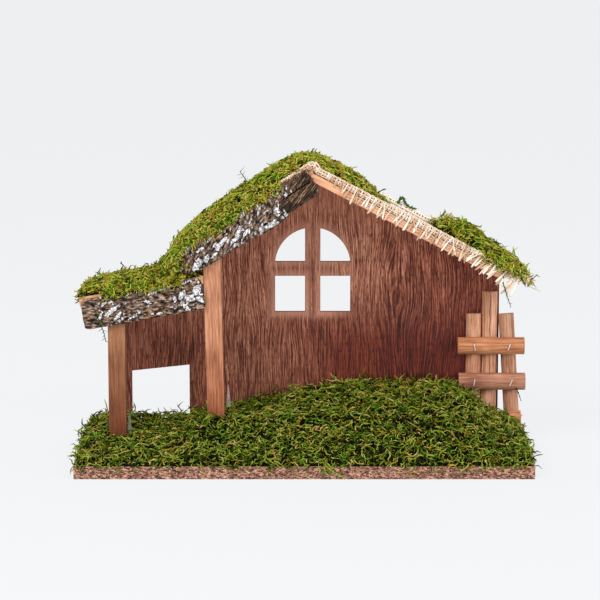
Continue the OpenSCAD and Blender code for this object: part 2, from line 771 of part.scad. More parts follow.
// Holes for the legs only: the crown lies on the rail
module staple_holes() {
    for (p = staple_places)
        translate([p[0], staple_y, base_t + p[1]]) rotate([0, p[2], 0])
            for (side = [-1, 1])
                translate([0, 0, side * (staple_w - staple_wire) / 2]) rotate([-90, 0, 0])
                    cylinder(h = staple_leg + wire_gap, d = staple_wire + 2 * wire_gap, $fn = 16);
}

module half_round(r, len) {
    intersection() {
        cylinder(h = len, r = r);
        translate([-r - overrun, -r - overrun, -overrun])
            cube([2 * (r + overrun), r + overrun, len + 2 * overrun]);
    }
}

module fence_stick(x, h, lean) {
    color(stick_wood) difference() {
        intersection() {
            translate([x, stick_back_y, base_t]) rotate([0, -lean, 0])
                translate([0, 0, -stick_w]) half_round(stick_r, h / cos(lean) + stick_w);
            translate([x - h, stick_back_y - stick_w, base_t]) cube([2 * h, 2 * stick_w, 2 * h]);
        }
        staple_holes();
    }
}

module fence_rail(k) {
    right = rails_right_x + rail_shift_shares[k] * rail_len;
    color(stick_wood) difference() {
        translate([right - rail_len, rail_back_y, base_t + rail_heights[k]])
            rotate([0, 90, 0]) half_round(rail_r, rail_len);
        staple_holes();
    }
}

module fence_stick_left() {
    fence_stick(left_stick_x, stick_h, 0);
}
module fence_stick_tall() {
    fence_stick(tall_stick_x, tall_stick_h, 0);
}
module fence_stick_right() {
    fence_stick(right_stick_x, stick_h, right_stick_lean);
}
module fence_rail_top() {
    fence_rail(0);
}
module fence_rail_middle() {
    fence_rail(1);
}
module fence_rail_bottom() {
    fence_rail(2);
}
module fence_staples() {
    color("silver") all_staples(0);
}

// Glue: a long drop beside each post's foot, and a fillet along the back wall
bead_lift = bed_h - glue_len / 3;
glue_places = [
    [mid_post_x + post_w / 2 + glue_r + seat_gap, post_mid_y, base_t + bead_lift],
    [left_post_x + post_w / 2 + glue_r + seat_gap, post_mid_y, base_t + bead_lift / 3]
];

module glue_bead(place) {
    color([0.9, 0.88, 0.8, 0.6]) translate(place) {
        translate([0, 0, glue_r]) sphere(r = glue_r);
        translate([0, 0, glue_r]) cylinder(h = glue_len - glue_r, r1 = glue_r, r2 = glue_r / 4);
    }
}
module glue_mid_post() {
    glue_bead(glue_places[0]);
}
module glue_left_post() {
    glue_bead(glue_places[1]);
}
module glue_wall_foot() {
    low = base_t + seat_gap;
    back = wall_front_y - seat_gap;
    length = fence_left_x - bed_cell - wall_split_x - post_w;
    color([0.9, 0.88, 0.8, 0.6]) translate([wall_split_x + post_w, back, low])
        rotate([90, 0, 90]) linear_extrude(length)
            polygon([[0, 0], [0, glue_side], [-glue_side, 0]]);
}

module roof_brads() {
    color("silver") all_roof_brads(0);
}
module base_brads() {
    color("silver") all_base_brads(0);
}

base_board();
back_wall();
lean_to_wall();
mid_post();
left_post();
roof_board_left();
roof_board_right();
roof_board_lean_to();
bark_main();
bark_ridge_strip();
bark_lean_to();
jute_mat();
moss_bed();
moss_ridge();
moss_lean_to();
moss_eave();
fence_stick_left();
fence_stick_tall();
fence_stick_right();
fence_rail_top();
fence_rail_middle();
fence_rail_bottom();
fence_staples();
glue_mid_post();
glue_left_post();
glue_wall_foot();
roof_brads();
base_brads();
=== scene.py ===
"""A wooden nativity stable: stained plywood walls on a chipboard base, roof boards trimmed with bark, a
woven mat, moss and a small fence. Sizes are in millimetres until a mesh is made."""
from functools import partialmethod
from math import cos, inf, radians, sin, tau

import bpy
import numpy as np
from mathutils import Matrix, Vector
from numpy.random import default_rng


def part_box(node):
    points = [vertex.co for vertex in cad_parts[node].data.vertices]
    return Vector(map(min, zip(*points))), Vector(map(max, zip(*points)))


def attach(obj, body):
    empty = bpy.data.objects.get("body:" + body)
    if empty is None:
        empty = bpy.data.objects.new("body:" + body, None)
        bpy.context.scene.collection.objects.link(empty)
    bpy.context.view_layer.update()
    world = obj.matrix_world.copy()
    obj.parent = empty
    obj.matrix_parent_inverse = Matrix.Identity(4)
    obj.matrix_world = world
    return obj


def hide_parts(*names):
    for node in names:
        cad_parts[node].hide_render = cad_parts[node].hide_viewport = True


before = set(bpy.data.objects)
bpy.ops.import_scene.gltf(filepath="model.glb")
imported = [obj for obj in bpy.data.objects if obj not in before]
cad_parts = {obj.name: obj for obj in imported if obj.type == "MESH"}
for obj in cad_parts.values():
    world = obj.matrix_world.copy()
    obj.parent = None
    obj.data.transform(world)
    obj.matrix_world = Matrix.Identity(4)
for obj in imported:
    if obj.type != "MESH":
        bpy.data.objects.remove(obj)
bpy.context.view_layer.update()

# View
# The stable seen squarely from the front and 9 degrees from above, through a long lens that fits the
# base's front edge into three quarters of the picture.
MM = 0.001
scene = bpy.context.scene
LENS, SENSOR, CAMERA_AT, CAMERA_TILT = 132.53, 36, (-2.763, -1460, 339.75), radians(81)


def placed(name, data):
    """A new object in the scene."""
    made = bpy.data.objects.new(name, data)
    scene.collection.objects.link(made)
    return made


camera = placed("camera", bpy.data.cameras.new("camera"))
camera.data.lens, camera.data.sensor_width = LENS, SENSOR
camera.location = [c * MM for c in CAMERA_AT]
camera.rotation_euler = (CAMERA_TILT, 0, 0)
scene.camera = camera


# Base board
# A slab of stained chipboard, sawn square. Its edge shows the layered chips, pale and dark, with small
# pits where chips fell out, and with chips that stand a little proud of the saw cut.
class Value:
    """A shader socket that is reckoned with like a number."""

    def __init__(self, finish, socket):
        self.finish, self.socket = finish, socket

    def worked(self, operation, *others):
        return self.finish.node("Math", self, *others, operation=operation)

    def __rsub__(self, other):
        return self.finish.node("Math", other, self, operation="SUBTRACT")

    __add__ = __radd__ = partialmethod(worked, "ADD")
    __sub__ = partialmethod(worked, "SUBTRACT")
    __mul__ = __rmul__ = partialmethod(worked, "MULTIPLY")
    __truediv__ = partialmethod(worked, "DIVIDE")
    __pow__ = partialmethod(worked, "POWER")
    __abs__ = partialmethod(worked, "ABSOLUTE")
    least = partialmethod(worked, "MINIMUM")
    most = partialmethod(worked, "MAXIMUM")

    def step(self, low, high):
        """0 below low and 1 above high, with a smooth step between; low above high turns it round."""
        return self.finish.node("MapRange", self, low, high, 0, 1, interpolation_type="SMOOTHSTEP")


def paint(red, green, blue):
    """A colour from 0 to 255 as light: its low end over 12.92, the rest ((c + 0.055) / 1.055) ** 2.4."""
    shares = [c / 255 for c in (red, green, blue)]
    return (*[c / 12.92 if c < 0.04 else ((c + 0.055) / 1.055) ** 2.4 for c in shares], 1)


class Graph:
    """The nodes of a material or the world, made by one method."""

    def __init__(self, tree):
        self.tree = tree

    def feed(self, socket, value):
        """Links a value to a socket, or sets its constant; colours are given from 0 to 255."""
        if isinstance(value, Value):
            self.tree.links.new(value.socket, socket)
        elif value is not None:
            socket.default_value = paint(*value) if socket.type == "RGBA" else value

    def node(self, kind, *values, out=0, **named):
        """Adds a node. Its sockets' values or links come in order or by name, and names in small letters
        are its settings or the stops of its ramp."""
        made = self.tree.nodes.new("ShaderNode" + kind)
        for key, value in named.items():
            if key == "stops":
                ramp = made.color_ramp.elements
                while len(ramp) < len(value):
                    ramp.new(1)
                for stop, (place, *colour) in zip(ramp, value):
                    stop.position, stop.color = place, paint(*colour)
            elif key.islower():
                setattr(made, key, value)
            else:
                self.feed(made.inputs[key], value)
        for socket, value in zip(made.inputs, values):
            self.feed(socket, value)
        return Value(self, made.outputs[out])


class Finish(Graph):
    """The finish of a piece: one Principled surface, with constants on its own sockets."""

    def __init__(self, name, specular=0.5, **constants):
        self.material = bpy.data.materials.new(name)
        self.material.use_nodes = True
        super().__init__(self.material.node_tree)
        self.surface = self.tree.nodes["Principled BSDF"]
        self.set(Specular_IOR_Level=specular, **constants)

    def set(self, **sockets):
        for key, value in sockets.items():
            self.feed(self.surface.inputs[key.replace("_", " ")], value)
        return self

    def place(self, size=1, turn=(0, 0, 0)):
        """Object coordinates counted in cells of this size in millimetres, turned with the piece."""
        return self.node("Mapping", self.node("TexCoord", out="Object"), (0, 0, 0), turn,
                         np.ones(3) * size * MM, vector_type="TEXTURE")

    def axis(self, vector, letter):
        return self.node("SeparateXYZ", vector, out=letter)

    def along(self, letter):
        """The place along one axis of the stable, in millimetres."""
        return self.axis(self.place(), letter)

    def stored(self, key):
        """The number that a piece's mesh stores at each point."""
        return self.node("Attribute", attribute_name=key, out="Fac")

    def noise(self, at, detail=3, rough=0.5, turn=(0, 0, 0)):
        """Noise over cells of this size in millimetres, or over a vector."""
        at = at if isinstance(at, Value) else self.place(at, turn)
        return self.node("TexNoise", Vector=at, Scale=1, Detail=detail, Roughness=rough)

    def ramp(self, value, *stops):
        """A colour for a value, blended between stops (place, red, green, blue)."""
        return self.node("ValToRGB", value, stops=stops)

    def blend(self, share, under, over, kind="MIX"):
        """The colour over laid on the colour under, by a share from 0 to 1."""
        return self.node("Mix", share, *[None] * 5, under, over, out=2,
                         data_type="RGBA", blend_type=kind)

    def look(self, colour, roughness, height, depth):
        """Colour, roughness and a bumped normal: height from 0 to 1 stands for a depth in millimetres."""
        bump = self.node("Bump", Strength=1, Distance=depth * MM, Height=height)
        return self.set(Base_Color=colour, Roughness=roughness, Normal=bump)

    def dress(self, *nodes):
        """Puts the finish on CAD nodes."""
        for node in nodes:
            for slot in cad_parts[node].material_slots:
                slot.material = self.material
        return self


board = Finish("chipboard", 0.25)
cells = board.place((1.5, 1.5, 0.7), (0, 0.12, 0))
flakes = board.node("TexVoronoi", Vector=cells, Scale=1, out="Color")
crumb = board.noise((0.7, 0.7, 0.5), 4, 0.65)
pit = board.noise((1.9, 1.9, 0.8), 2).step(0.40, 0.33)
body = board.axis(flakes, "X") * 0.5 + crumb * 0.5
layers = board.ramp(body, (0.24, 66, 38, 31), (0.4, 126, 84, 68), (0.55, 166, 120, 98),
                    (0.68, 198, 154, 130), (0.85, 228, 192, 170))
# The pits are painted near black as shade in the hollows where chips fell out, and sunk by the bump.
board.look(board.blend(pit * 0.85, layers, (48, 26, 20)), 0.75 + crumb * 0.2, body - pit, 0.5)
board.dress("base_board")


def piece(name, points, faces, finish, slot, nodes=(), smooth=True, **attributes):
    """Mounts a piece on the stable, made from points in millimetres and arrays of faces."""
    mesh = bpy.data.meshes.new(name)
    points = np.asarray(points, float).reshape(-1, 3) * MM
    mesh.from_pydata(points, [], [face for group in faces for face in group.tolist()], not smooth)
    for key, values in attributes.items():
        mesh.attributes.new(key, "FLOAT", "POINT").data.foreach_set("value", np.ravel(values))
    mesh.materials.append(finish.material)
    made = placed(name, mesh)
    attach(made, "root")
    if nodes:
        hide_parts(*nodes)
    return made


def corners_of(node):
    """The lowest and the highest corner of a CAD node at rest, in millimetres."""
    return [[round(c / MM, 2) for c in corner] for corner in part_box(node)]


BOARD_HALF_W, BOARD_HALF_D, BOARD_T = corners_of("base_board")[1]
FRONT_CHIPS, SIDE_CHIPS, CHIP_END, CHIP_LOW, CHIP_UNDER = 620, 260, 1, 1.3, 0.6
CHIP_LONG, CHIP_HIGH, CHIP_PROUD, CHIP_FOOT, CHIP_FACE = (0.5, 1.3), (0.3, 0.7), (0.12, 0.46), -0.2, 0.72


def edge_chips(seed):
    """Chips proud of the sawn edges: flat blocks, turned a little from the level, each with an outer
    face smaller than its foot in the board."""
    dice = default_rng(seed)
    corner = np.array([(-1, -1), (1, -1), (1, 1), (-1, 1)])
    sizes = (BOARD_HALF_W, BOARD_HALF_D, FRONT_CHIPS), (BOARD_HALF_D, BOARD_HALF_W, SIDE_CHIPS)
    blocks = []
    for c, s in ((1, 0), (0, 1), (-1, 0), (0, -1)):
        along, out, up = np.array([(c, s, 0), (s, -c, 0), (0, 0, 1.0)])
        half, depth, count = sizes[abs(s)]
        middle = (along * dice.uniform(CHIP_END - half, half - CHIP_END, (count, 1)) + out * depth
                  + up * dice.uniform(CHIP_LOW, BOARD_T - CHIP_UNDER, (count, 1)))
        turn = dice.normal(size=(count, 1)) * 0.3
        u = along * np.cos(turn) + up * np.sin(turn)
        w = np.cross(out, u)
        u = u * (CHIP_LONG[0] + CHIP_LONG[1] * dice.random((count, 1)) ** 2)
        w = w * dice.uniform(*CHIP_HIGH, (count, 1))
        ring = corner[:, :1] * u[:, None] + corner[:, 1:] * w[:, None]
        proud = dice.uniform(*CHIP_PROUD, (count, 1, 1))
        rings = [ring + out * CHIP_FOOT, ring * CHIP_FACE + out * proud]
        blocks.append(middle[:, None] + np.concatenate(rings, 1))
    points = np.concatenate(blocks)
    block = np.array([(4, 5, 6, 7), (3, 2, 1, 0), (0, 1, 5, 4), (1, 2, 6, 5), (2, 3, 7, 6), (3, 0, 4, 7)])
    return points, [(np.arange(len(points))[:, None, None] * 8 + block).reshape(-1, 4)]


piece("base_board_chips", *edge_chips(7), board, "chipboard", smooth=False)

# Walls
# Thin plywood stained red-brown, grain upright, with fine open pores. The window and the doorway
# were cut by heat, so every cut edge is scorched dark, and the face beside the window is tanned, less
# towards its right.
RIDGE_X = corners_of("roof_board_left")[1][0]
ARCH_Z, SILL_Z, LIGHT_TOP_Z, CROSS_TOP_Z, ARCH_R, BAR_HALF = 125.1, 92.5, 117.5, 127.5, 26, 5.3
SWIRL_X, SWIRL_Z, SWIRL_HALF_W, SWIRL_HALF_H = 66, 112, 16, 34
RED_X, SHADE_X, SHADE_Z, LIT_Z = (25, 128), (-30, 30), (135, 65), (138, 172)
TAN_X, TAN_WIDE, SCORCH_WIDE = (38, 14), 7, 0.7


def light_edge(wood):
    """How far a point of the wall is outside the window's lights: for each light the farthest of its
    distances past the sides, and the nearest light counts."""
    x, z = abs(wood.along("X") - RIDGE_X), wood.along("Z")
    beside = (BAR_HALF - x).most(x - ARCH_R)
    low = beside.most((SILL_Z - z).most(z - LIGHT_TOP_Z))
    round_part = (x ** 2 + (z - ARCH_Z) ** 2) ** 0.5 - ARCH_R
    high = (BAR_HALF - x).most(CROSS_TOP_Z - z).most(round_part)
    return low.least(high)


def plywood(name, deep, window=False):
    """Streaks along the grain, bent by slow and quick noise and spread apart round an oval swirl."""
    wood = Finish(name, 0.3)
    x, z = wood.along("X"), wood.along("Z")
    slow, quick = wood.noise((24, 24, 60), 1), wood.noise((4, 4, 13), 2)
    aside, up = x - SWIRL_X, z - SWIRL_Z
    bend = slow * 20 + quick * 1.2 - aside / (1 + (aside / SWIRL_HALF_W) ** 2 + (up / SWIRL_HALF_H) ** 2)
    grain = wood.node("VectorMath", wood.place((0.6, 0.6, 19)), wood.node("CombineXYZ", bend, 0, 0),
                      operation="ADD")
    streak = wood.noise(grain, 3, 0.66)
    fibre = wood.noise((0.4, 0.4, 5.5), 2)
    pore = wood.noise((0.5, 0.5, 4.5), 1).step(0.57, 0.64)
    cloud = wood.noise((46, 46, 80), 2)
    body = streak * 0.72 + fibre * 0.14 + cloud * 0.14
    face = wood.ramp(body, (0.40, 84, 34, 20), (0.46, 132, 74, 54), (0.5, 166, 103, 78),
                     (0.55, 198, 134, 106), (0.62, 230, 172, 142))
    face = wood.blend(pore * 0.8, face, (76, 31, 21))
    face = wood.blend(x.step(*RED_X) * (0.35 + cloud * 0.6), face, (208, 136, 112), "MULTIPLY")
    # Painted shade: the wall darkens from 135 mm down to 65 mm, more to the right of the window.
    low = z.step(*SHADE_Z) * (x.step(*SHADE_X) * 0.55 + 0.45)
    face = wood.blend(low, face, (150, 96, 78), "MULTIPLY")
    # Painted light: the wall is paler towards its top, under the roof.
    face = wood.blend(z.step(*LIT_Z) * 0.3, face, (216, 146, 118))
    face = wood.blend(deep, face, (212, 180, 160), "MULTIPLY")
    cut = wood.axis(wood.node("TexCoord", out="Normal"), "Y")
    burnt = abs(cut).step(0.8, 0.4)
    if window:
        edge = light_edge(wood)
        face = wood.blend(edge.step(TAN_WIDE, 0) * x.step(*TAN_X) * 0.65, face, (212, 152, 126))
        burnt = burnt.most(edge.step(SCORCH_WIDE, 0) * 0.4)
    char = wood.blend(fibre, (58, 30, 22), (104, 60, 42))
    return wood.look(wood.blend(burnt, face, char), 0.5 + fibre * 0.25 + burnt * 0.2,
                     streak * 0.5 + fibre * 0.5 - pore * 0.6, 0.22)


plywood("plywood_scorched", 0.0, window=True).dress("back_wall")
plywood("plywood_deep", 0.45).dress("lean_to_wall")


# Posts
# Square softwood posts, sawn, with a thin brown stain. They stand in the moss, glued at the foot.
# The left one is painted darker, as shade under the lean-to roof.
def softwood(name, dark, middle, pale, size=(1.1, 1.1, 30), turn=(0, 0, 0), low=(1, 0)):
    """Sawn wood, grain along the longest side of size, darker from low[0] mm down to low[1]."""
    wood = Finish(name, 0.3)
    streak = wood.noise(size, 4, 0.6, turn)
    fibre = wood.noise([s * 0.28 for s in size], 2, turn=turn)
    stain = wood.noise((16, 16, 24), 2)
    body = streak * 0.5 + fibre * 0.25 + stain * 0.25
    colour = wood.ramp(body, (0.38, *dark), (0.5, *middle), (0.62, *pale))
    colour = wood.blend(wood.along("Z").step(*low), colour, (200, 160, 138), "MULTIPLY")
    speck = wood.noise((0.9, 0.9, 1.3), 1).step(0.72, 0.78)
    return wood.look(wood.blend(speck * 0.5, colour, (84, 50, 34)), 0.6 + fibre * 0.25,
                     streak * 0.6 + fibre * 0.4, 0.2)


softwood("post_wood", (132, 78, 52), (192, 134, 100), (226, 174, 140), low=(130, 15)).dress("mid_post")
# The left post's darker colours are painted shade under the lean-to roof.
softwood("post_wood_shaded", (104, 60, 36), (144, 94, 62), (172, 124, 88), low=(90, 10)).dress("left_post")

# Roof boards
# Thin sawn boards, pale orange where the saw left them bare, with the grain running down the slope.
# They are nailed to the walls and posts with headless brads.
LEFT_PITCH, RIGHT_PITCH, BAY_PITCH = (radians(a) for a in (33.5, 27.5, 10))
for side, pitch in (("left", -LEFT_PITCH), ("right", RIGHT_PITCH), ("lean_to", -BAY_PITCH)):
    softwood("wood_of_roof_board_" + side, (174, 114, 78), (214, 156, 118), (234, 186, 150),
             (24, 1.2, 0.8), (0, pitch, 0)).dress("roof_board_" + side)


# Bark
# Slabs of rough bark glued along the front edges of the left and side roofs, grey-brown and
# furrowed, with raised flakes of white lichen. A thin brown sliver lies beside the ridge.
def ripples(x, y, size, seed, octaves=4, rough=0.5):
    """Smooth noise from about -1 to 1. Each corner of a square grid has a random slope, the slopes are
    blended over a cell with 6t^5 - 15t^4 + 10t^3, and each octave is twice as fine and rough times as
    strong."""
    turn = default_rng(seed).random((256, 256)) * tau
    total, reach = 0.0, 0.0
    for octave in range(octaves):
        u, v = (c / size * 2 ** octave + 19.1 * octave for c in (x, y))
        i, j = np.floor(u).astype(int), np.floor(v).astype(int)
        fu, fv = u - i, v - j
        su, sv = (f ** 3 * (f * (f * 6 - 15) + 10) for f in (fu, fv))
        slope = [[np.cos(t) * (fu - a) + np.sin(t) * (fv - b) for b in (0, 1)
                  for t in [turn[(i + a) % 256, (j + b) % 256]]] for a in (0, 1)]
        rows = [slope[0][b] * (1 - su) + slope[1][b] * su for b in (0, 1)]
        total = total + rough ** octave * (rows[0] * (1 - sv) + rows[1] * sv)
        reach += rough ** octave
    return 1.5 * total / reach


def lattice(grid):
    """The four-cornered faces between neighbours in a grid of points' numbers."""
    return np.stack([grid[:-1, :-1], grid[:-1, 1:], grid[1:, 1:], grid[1:, :-1]], -1).reshape(-1, 4)


def down(x, z, pitch, way):
    """A roof: x and z for a place a down the slope from its upper end (x, z) and n over its underside.
    way is -1 for a roof that falls to the left and 1 to the right."""
    c, s = cos(pitch), sin(pitch)
    return lambda a, n: (x + a * (way * c) + n * (way * s), z - a * s + n * c)


def bent_edge(*points):
    """An edge of a slab, straight between points (place down the slope, height over the underside)."""
    return lambda a: np.interp(a, *zip(*points))


RIDGE_LEFT_Z, RIDGE_RIGHT_Z = corners_of("back_wall")[1][2], 189
BAY_X, _, BAY_Z = corners_of("lean_to_wall")[1]
ROOF_FRONT_Y, ROOF_T = corners_of("roof_board_left")[0][1], 5
on_left = down(RIDGE_X, RIDGE_LEFT_Z, LEFT_PITCH, -1)
on_bay = down(BAY_X, BAY_Z, BAY_PITCH, -1)
FLAKES_PER_MM, NO_FLAKE, FLAKE_H, CELL, CELLS_ACROSS = 0.75, -3.0, 0.45, 0.4, 60


def turned(a, n, degrees):
    """A place measured along and across a line turned up by degrees."""
    c, s = cos(radians(degrees)), sin(radians(degrees))
    return a * c + n * s, n * c - a * s


def lichen(a, n, patches, start, length, seed):
    """How deep a point lies inside flakes: 1 at a flake's middle and 0 at its edge. A flake is an
    ellipse, (place down the slope, height, length, width, turn in degrees), ragged by ripples. Small
    ones are scattered from start on, more of them along the upper edge."""
    dice = default_rng(seed)
    count = int(length * FLAKES_PER_MM)
    up = np.where(dice.random(count) < 0.35, n.max() - dice.uniform(0, 2.5, count),
                  dice.uniform(n.min(), n.max(), count))
    small = np.stack([dice.uniform(start, length - 12, count), up, dice.uniform(1.4, 4.6, count),
                      dice.uniform(0.7, 1.7, count), dice.normal(-45, 35, count)], 1)
    inside = np.full_like(a, NO_FLAKE)
    for at, up, long, wide, turn in np.concatenate([np.array(patches, float), small]):
        along, across = turned(a - at, n - up, turn)
        inside = np.maximum(inside, 1 - np.hypot(along / long, across / wide) * 2)
    return inside + 0.6 * ripples(a, n, 2.4, seed + 1, 3, 0.65)


def bark_slab(name, on_slope, length, low, high, finish, seed, lay, patches=(), start=2,
              thick=4, deep=1.9):
    """A slab between two wavy edges, low(a) and high(a), with ragged ends. Its front is cut by furrows,
    a ripple folded at zero and drawn out along the turn lay in degrees, stands in scales, a ripple
    rounded down in steps, and sinks to the back along the rim."""
    rows, columns = int(length / CELL), CELLS_ACROSS
    a = np.linspace(0, length, rows)[:, None] * np.ones(columns)
    share = np.linspace(0, 1, columns) * np.ones((rows, 1))
    for end, way, k in ((0, 1, 0), (length, -1, 1)):
        near = np.clip(1 - np.abs(a - end) / 9, 0, 1)
        ragged = 1.1 + 1.1 * ripples(share * 22, a * 0, 6, seed + 7 + k) + 2.2 * (2 * share - 1) ** 8
        a = a + way * near * ragged
    edge = 1.1 * ripples(a, a * 0, 5, seed, 4, 0.65)
    n = low(a) + 0.5 + edge + share * (high(a) - 0.8 * edge - low(a) - 0.5 - edge)
    along, across = turned(a, n, lay)
    furrow = 1 - 2.6 * np.abs(ripples(along * 0.7, across * 1.5, 5, seed + 1, 4, 0.6))
    plate = 3 * ripples(along * 0.7, across * 1.1, 13, seed + 2, 4, 0.6)
    scale = np.floor(plate) + np.clip((plate - np.floor(plate)) * 2.5, 0, 1) ** 2
    fine = ripples(along * 0.6, across * 1.3, 1.5, seed + 3, 2)
    flake = lichen(a, n, patches, start, length, seed + 4) if patches else np.full_like(a, NO_FLAKE)
    rim = np.minimum(np.minimum(share, 1 - share) * 14, np.minimum(a, length - a) * 0.8 + 0.15)
    rim = np.clip(rim, 0, 1) ** 0.5
    lift = deep * (0.6 + 0.4 * furrow + 0.26 * scale + 0.3 * fine) + FLAKE_H * np.clip(flake * 2.5, 0, 1)
    lift = np.clip(lift, -0.6 * deep, 2 * deep)
    x, z = on_slope(a, n)
    back = ROOF_FRONT_Y - 0.1
    front = back - 0.3 - (thick - 0.3 - deep * 0.5) * rim - lift * rim
    points = np.stack([np.stack([x, y, z], -1) for y in (front, np.full_like(x, back))])
    grid = np.arange(a.size).reshape(a.shape)
    ring = np.concatenate([grid[0], grid[1:, -1], grid[-1, -2::-1], grid[-2::-1, 0]])
    sides = lattice(np.stack([ring, ring + a.size], 1))
    return piece(name, points, [lattice(grid), lattice(grid + a.size)[:, ::-1], sides],
                 finish, "bark", [name], height=np.stack([furrow + fine, np.full_like(a, -1)]),
                 flake=np.stack([flake, np.full_like(a, NO_FLAKE)]))


def bark_finish(name, turn, inner=None):
    """Weathered bark with lichen. inner(bark) is the share of bare, streaked inner bark, if any."""
    bark = Finish(name, 0.15)
    high = bark.stored("height")
    scale = bark.noise((4.4, 2.4, 1.5), 5, 0.62, turn)
    tint = bark.noise((13, 13, 8), 2, turn=turn)
    # The colour darkens with the stored height into the furrows: partly the bark's own darker furrows,
    # partly painted shade.
    colour = bark.ramp(high * 0.17 + scale * 0.86, (0.36, 13, 10, 8), (0.47, 58, 44, 37),
                       (0.57, 112, 92, 78), (0.69, 186, 162, 142))
    brown = bark.ramp(high * 0.14 + scale * 0.86, (0.36, 20, 13, 9), (0.49, 88, 62, 44),
                      (0.65, 170, 132, 102))
    colour = bark.blend(tint.step(0.48, 0.6) * 0.75, colour, brown)
    if inner:
        strand = bark.noise((16, 0.9, 0.8), 4, 0.62, (0, -radians(51), 0))
        colour = bark.blend(inner(bark), colour, bark.ramp(
            strand, (0.4, 20, 15, 12), (0.5, 56, 43, 33), (0.58, 94, 72, 54), (0.66, 178, 144, 110)))
    grit = bark.noise(0.9, 3, 0.65)
    crack = abs(bark.noise((2.7, 2.7, 2.2), 3, 0.6) - 0.5).step(0.008, 0.035)
    edge = bark.stored("flake") + (grit - 0.5) * 0.9
    white, shade = edge.step(0.04, 0.13) * crack, edge.step(-0.5, 0)
    colour = bark.blend(shade * 0.75, colour, (24, 19, 17))
    colour = bark.blend(white, colour, bark.ramp(
        grit, (0.3, 150, 145, 144), (0.42, 220, 217, 218), (0.54, 250, 248, 249)))
    return bark.look(colour, 0.9, scale + white * (0.4 + grit), 1.0)


BARK_LENGTH, BAY_LENGTH, STRIP_LENGTH = 112, 83.4, 27
main_bark_high = bent_edge((0, 8), (24, 8.7), (38, 8), (52, 9.1), (60, 7.9), (70, 6.9), (79, 7.3),
                           (91, 9.4), (112, 8))
tapered = bent_edge((27, -12.6), (35, -14), (46, -13.6), (64, -12), (92, -11), (103, -9.5), (108, -4),
                    (112, -1))
bay_bark_high = bent_edge((66, 4.6), (69, 3.2))
bay_bark_low, strip_low, strip_high = (bent_edge((0, n)) for n in (-17.6, -11.6, -0.6))


def main_bark_low(a):
    """The lower edge: above the brown strip near the ridge, then tapering up to the lower end, and
    never below the side roof's top, which is a straight line on the slope."""
    edge = np.where(a < STRIP_LENGTH + 0.2, -0.9, tapered(a))
    x, z = on_left(a, 0)
    over = ROOF_T + 1.3 + (x - BAY_X) * sin(BAY_PITCH) - (z - BAY_Z) * cos(BAY_PITCH)
    over = over / cos(LEFT_PITCH - BAY_PITCH)
    return np.where(x < BAY_X + 1, np.maximum(edge, over), edge)


MAIN_FLAKES = [
    (52.4, 6, 6, 4, -30), (41.9, 1.7, 7, 2, -40), (45.1, 5.4, 5, 2, -60), (32.3, -5.5, 8, 4.5, -50),
    (25.6, -6.3, 16, 3.2, -55), (39.8, -10.6, 12, 3.8, 15), (47.3, -9.8, 8, 3, -56),
    (61.1, -2.9, 13, 3.6, -33), (73.7, -2.3, 11, 3.4, -20), (78.1, -3, 7, 3, -60), (78.8, 4.3, 9, 2, -20),
    (95.3, -5.6, 11, 5, -30), (88, -5.5, 8, 3, -40), (88.6, 1.6, 7, 2.4, 0), (104, 5, 7, 2.4, -50),
    (22, -0.4, 7, 2.6, -60), (57, -5.5, 8, 2.2, -30), (68, -5.6, 6, 2, -35), (82.5, -6.5, 7, 2, -10)]
BAY_FLAKES = [
    (10.1, -7.5, 9, 4.4, 20), (15.1, -4.6, 8, 4.6, -40), (13.8, -12.6, 9, 3.4, 60),
    (4.6, -2.9, 10, 5.4, -50), (3.4, -9.6, 7, 3.8, 40), (20.2, -6, 5, 2.6, 80), (34.2, 0.2, 8, 2.6, -10),
    (38, -5.3, 5, 2.4, 30), (62.6, -6.6, 15, 3.4, -25), (59.3, -11, 9, 2.6, -40), (66.9, -1.5, 6, 2, -30),
    (70.8, -9, 8, 2.2, -60), (31.5, -13.9, 5, 2, 0), (48, -12.4, 12, 2.2, -25), (27, 1.6, 6, 2, 0)]
grey_bark = bark_finish("bark_grey", (0, -radians(70), 0),
                        lambda bark: bark.along("X").step(-16, -6) * 0.9)
side_bark = bark_finish("bark_side", (0, -BAY_PITCH, 0))
inner_bark = bark_finish("bark_inner", (0, -LEFT_PITCH, 0), lambda bark: 1.0)
bark_slab("bark_main", on_left, BARK_LENGTH, main_bark_low, main_bark_high, grey_bark, 11, -38,
          MAIN_FLAKES, 16)
bark_slab("bark_lean_to", on_bay, BAY_LENGTH, bay_bark_low, bay_bark_high, side_bark, 31, 8, BAY_FLAKES)
bark_slab("bark_ridge_strip", on_left, STRIP_LENGTH + 1, strip_low, strip_high, inner_bark, 51, -18,
          thick=3.6, deep=1.5)

# Mat
# An open weave of cream jute yarn, laid over the ridge and down the right roof board. Its front and
# back edges are rolled up into hems round a core of cloth. The front hem and its fringe are painted tan as
# shade.
MAT_N, MAT_LAP, MAT_LENGTH, HEM_R, HEM_CORE_R, HEM_LIFT, HEM_Y = 5.85, 26, 158, 2.2, 1.2, 1.8, (-10.9, 52.4)
HEM_TURNS, HEM_TUCK, HEM_ROLL, RIDGE_BEND, RIDGE_ROUND = 1.35, 1.2, 18, [(6.4, 199.3), (7.2, 195.1)], 4
YARN_STEP, YARN_W, YARN_T, YARN_LIFT, LINE_STEP = 2.1, 1.34, 0.56, 0.3, 0.25
on_right = down(RIDGE_X, RIDGE_RIGHT_Z, RIGHT_PITCH, 1)


def unit(vectors):
    """Vectors along the last axis, each made one long."""
    return vectors / np.maximum(np.linalg.norm(vectors, axis=-1, keepdims=True), 1e-9)


def through(points, lengths):
    """A bent line through points: the lengths along it that lengths(whole) gives, and the points there."""
    points = np.array(points, float)
    along = np.append(0, np.cumsum(np.linalg.norm(np.diff(points, axis=0), axis=1)))
    at = lengths(along[-1])
    return at, np.stack([np.interp(at, along, row) for row in points.T], 1)


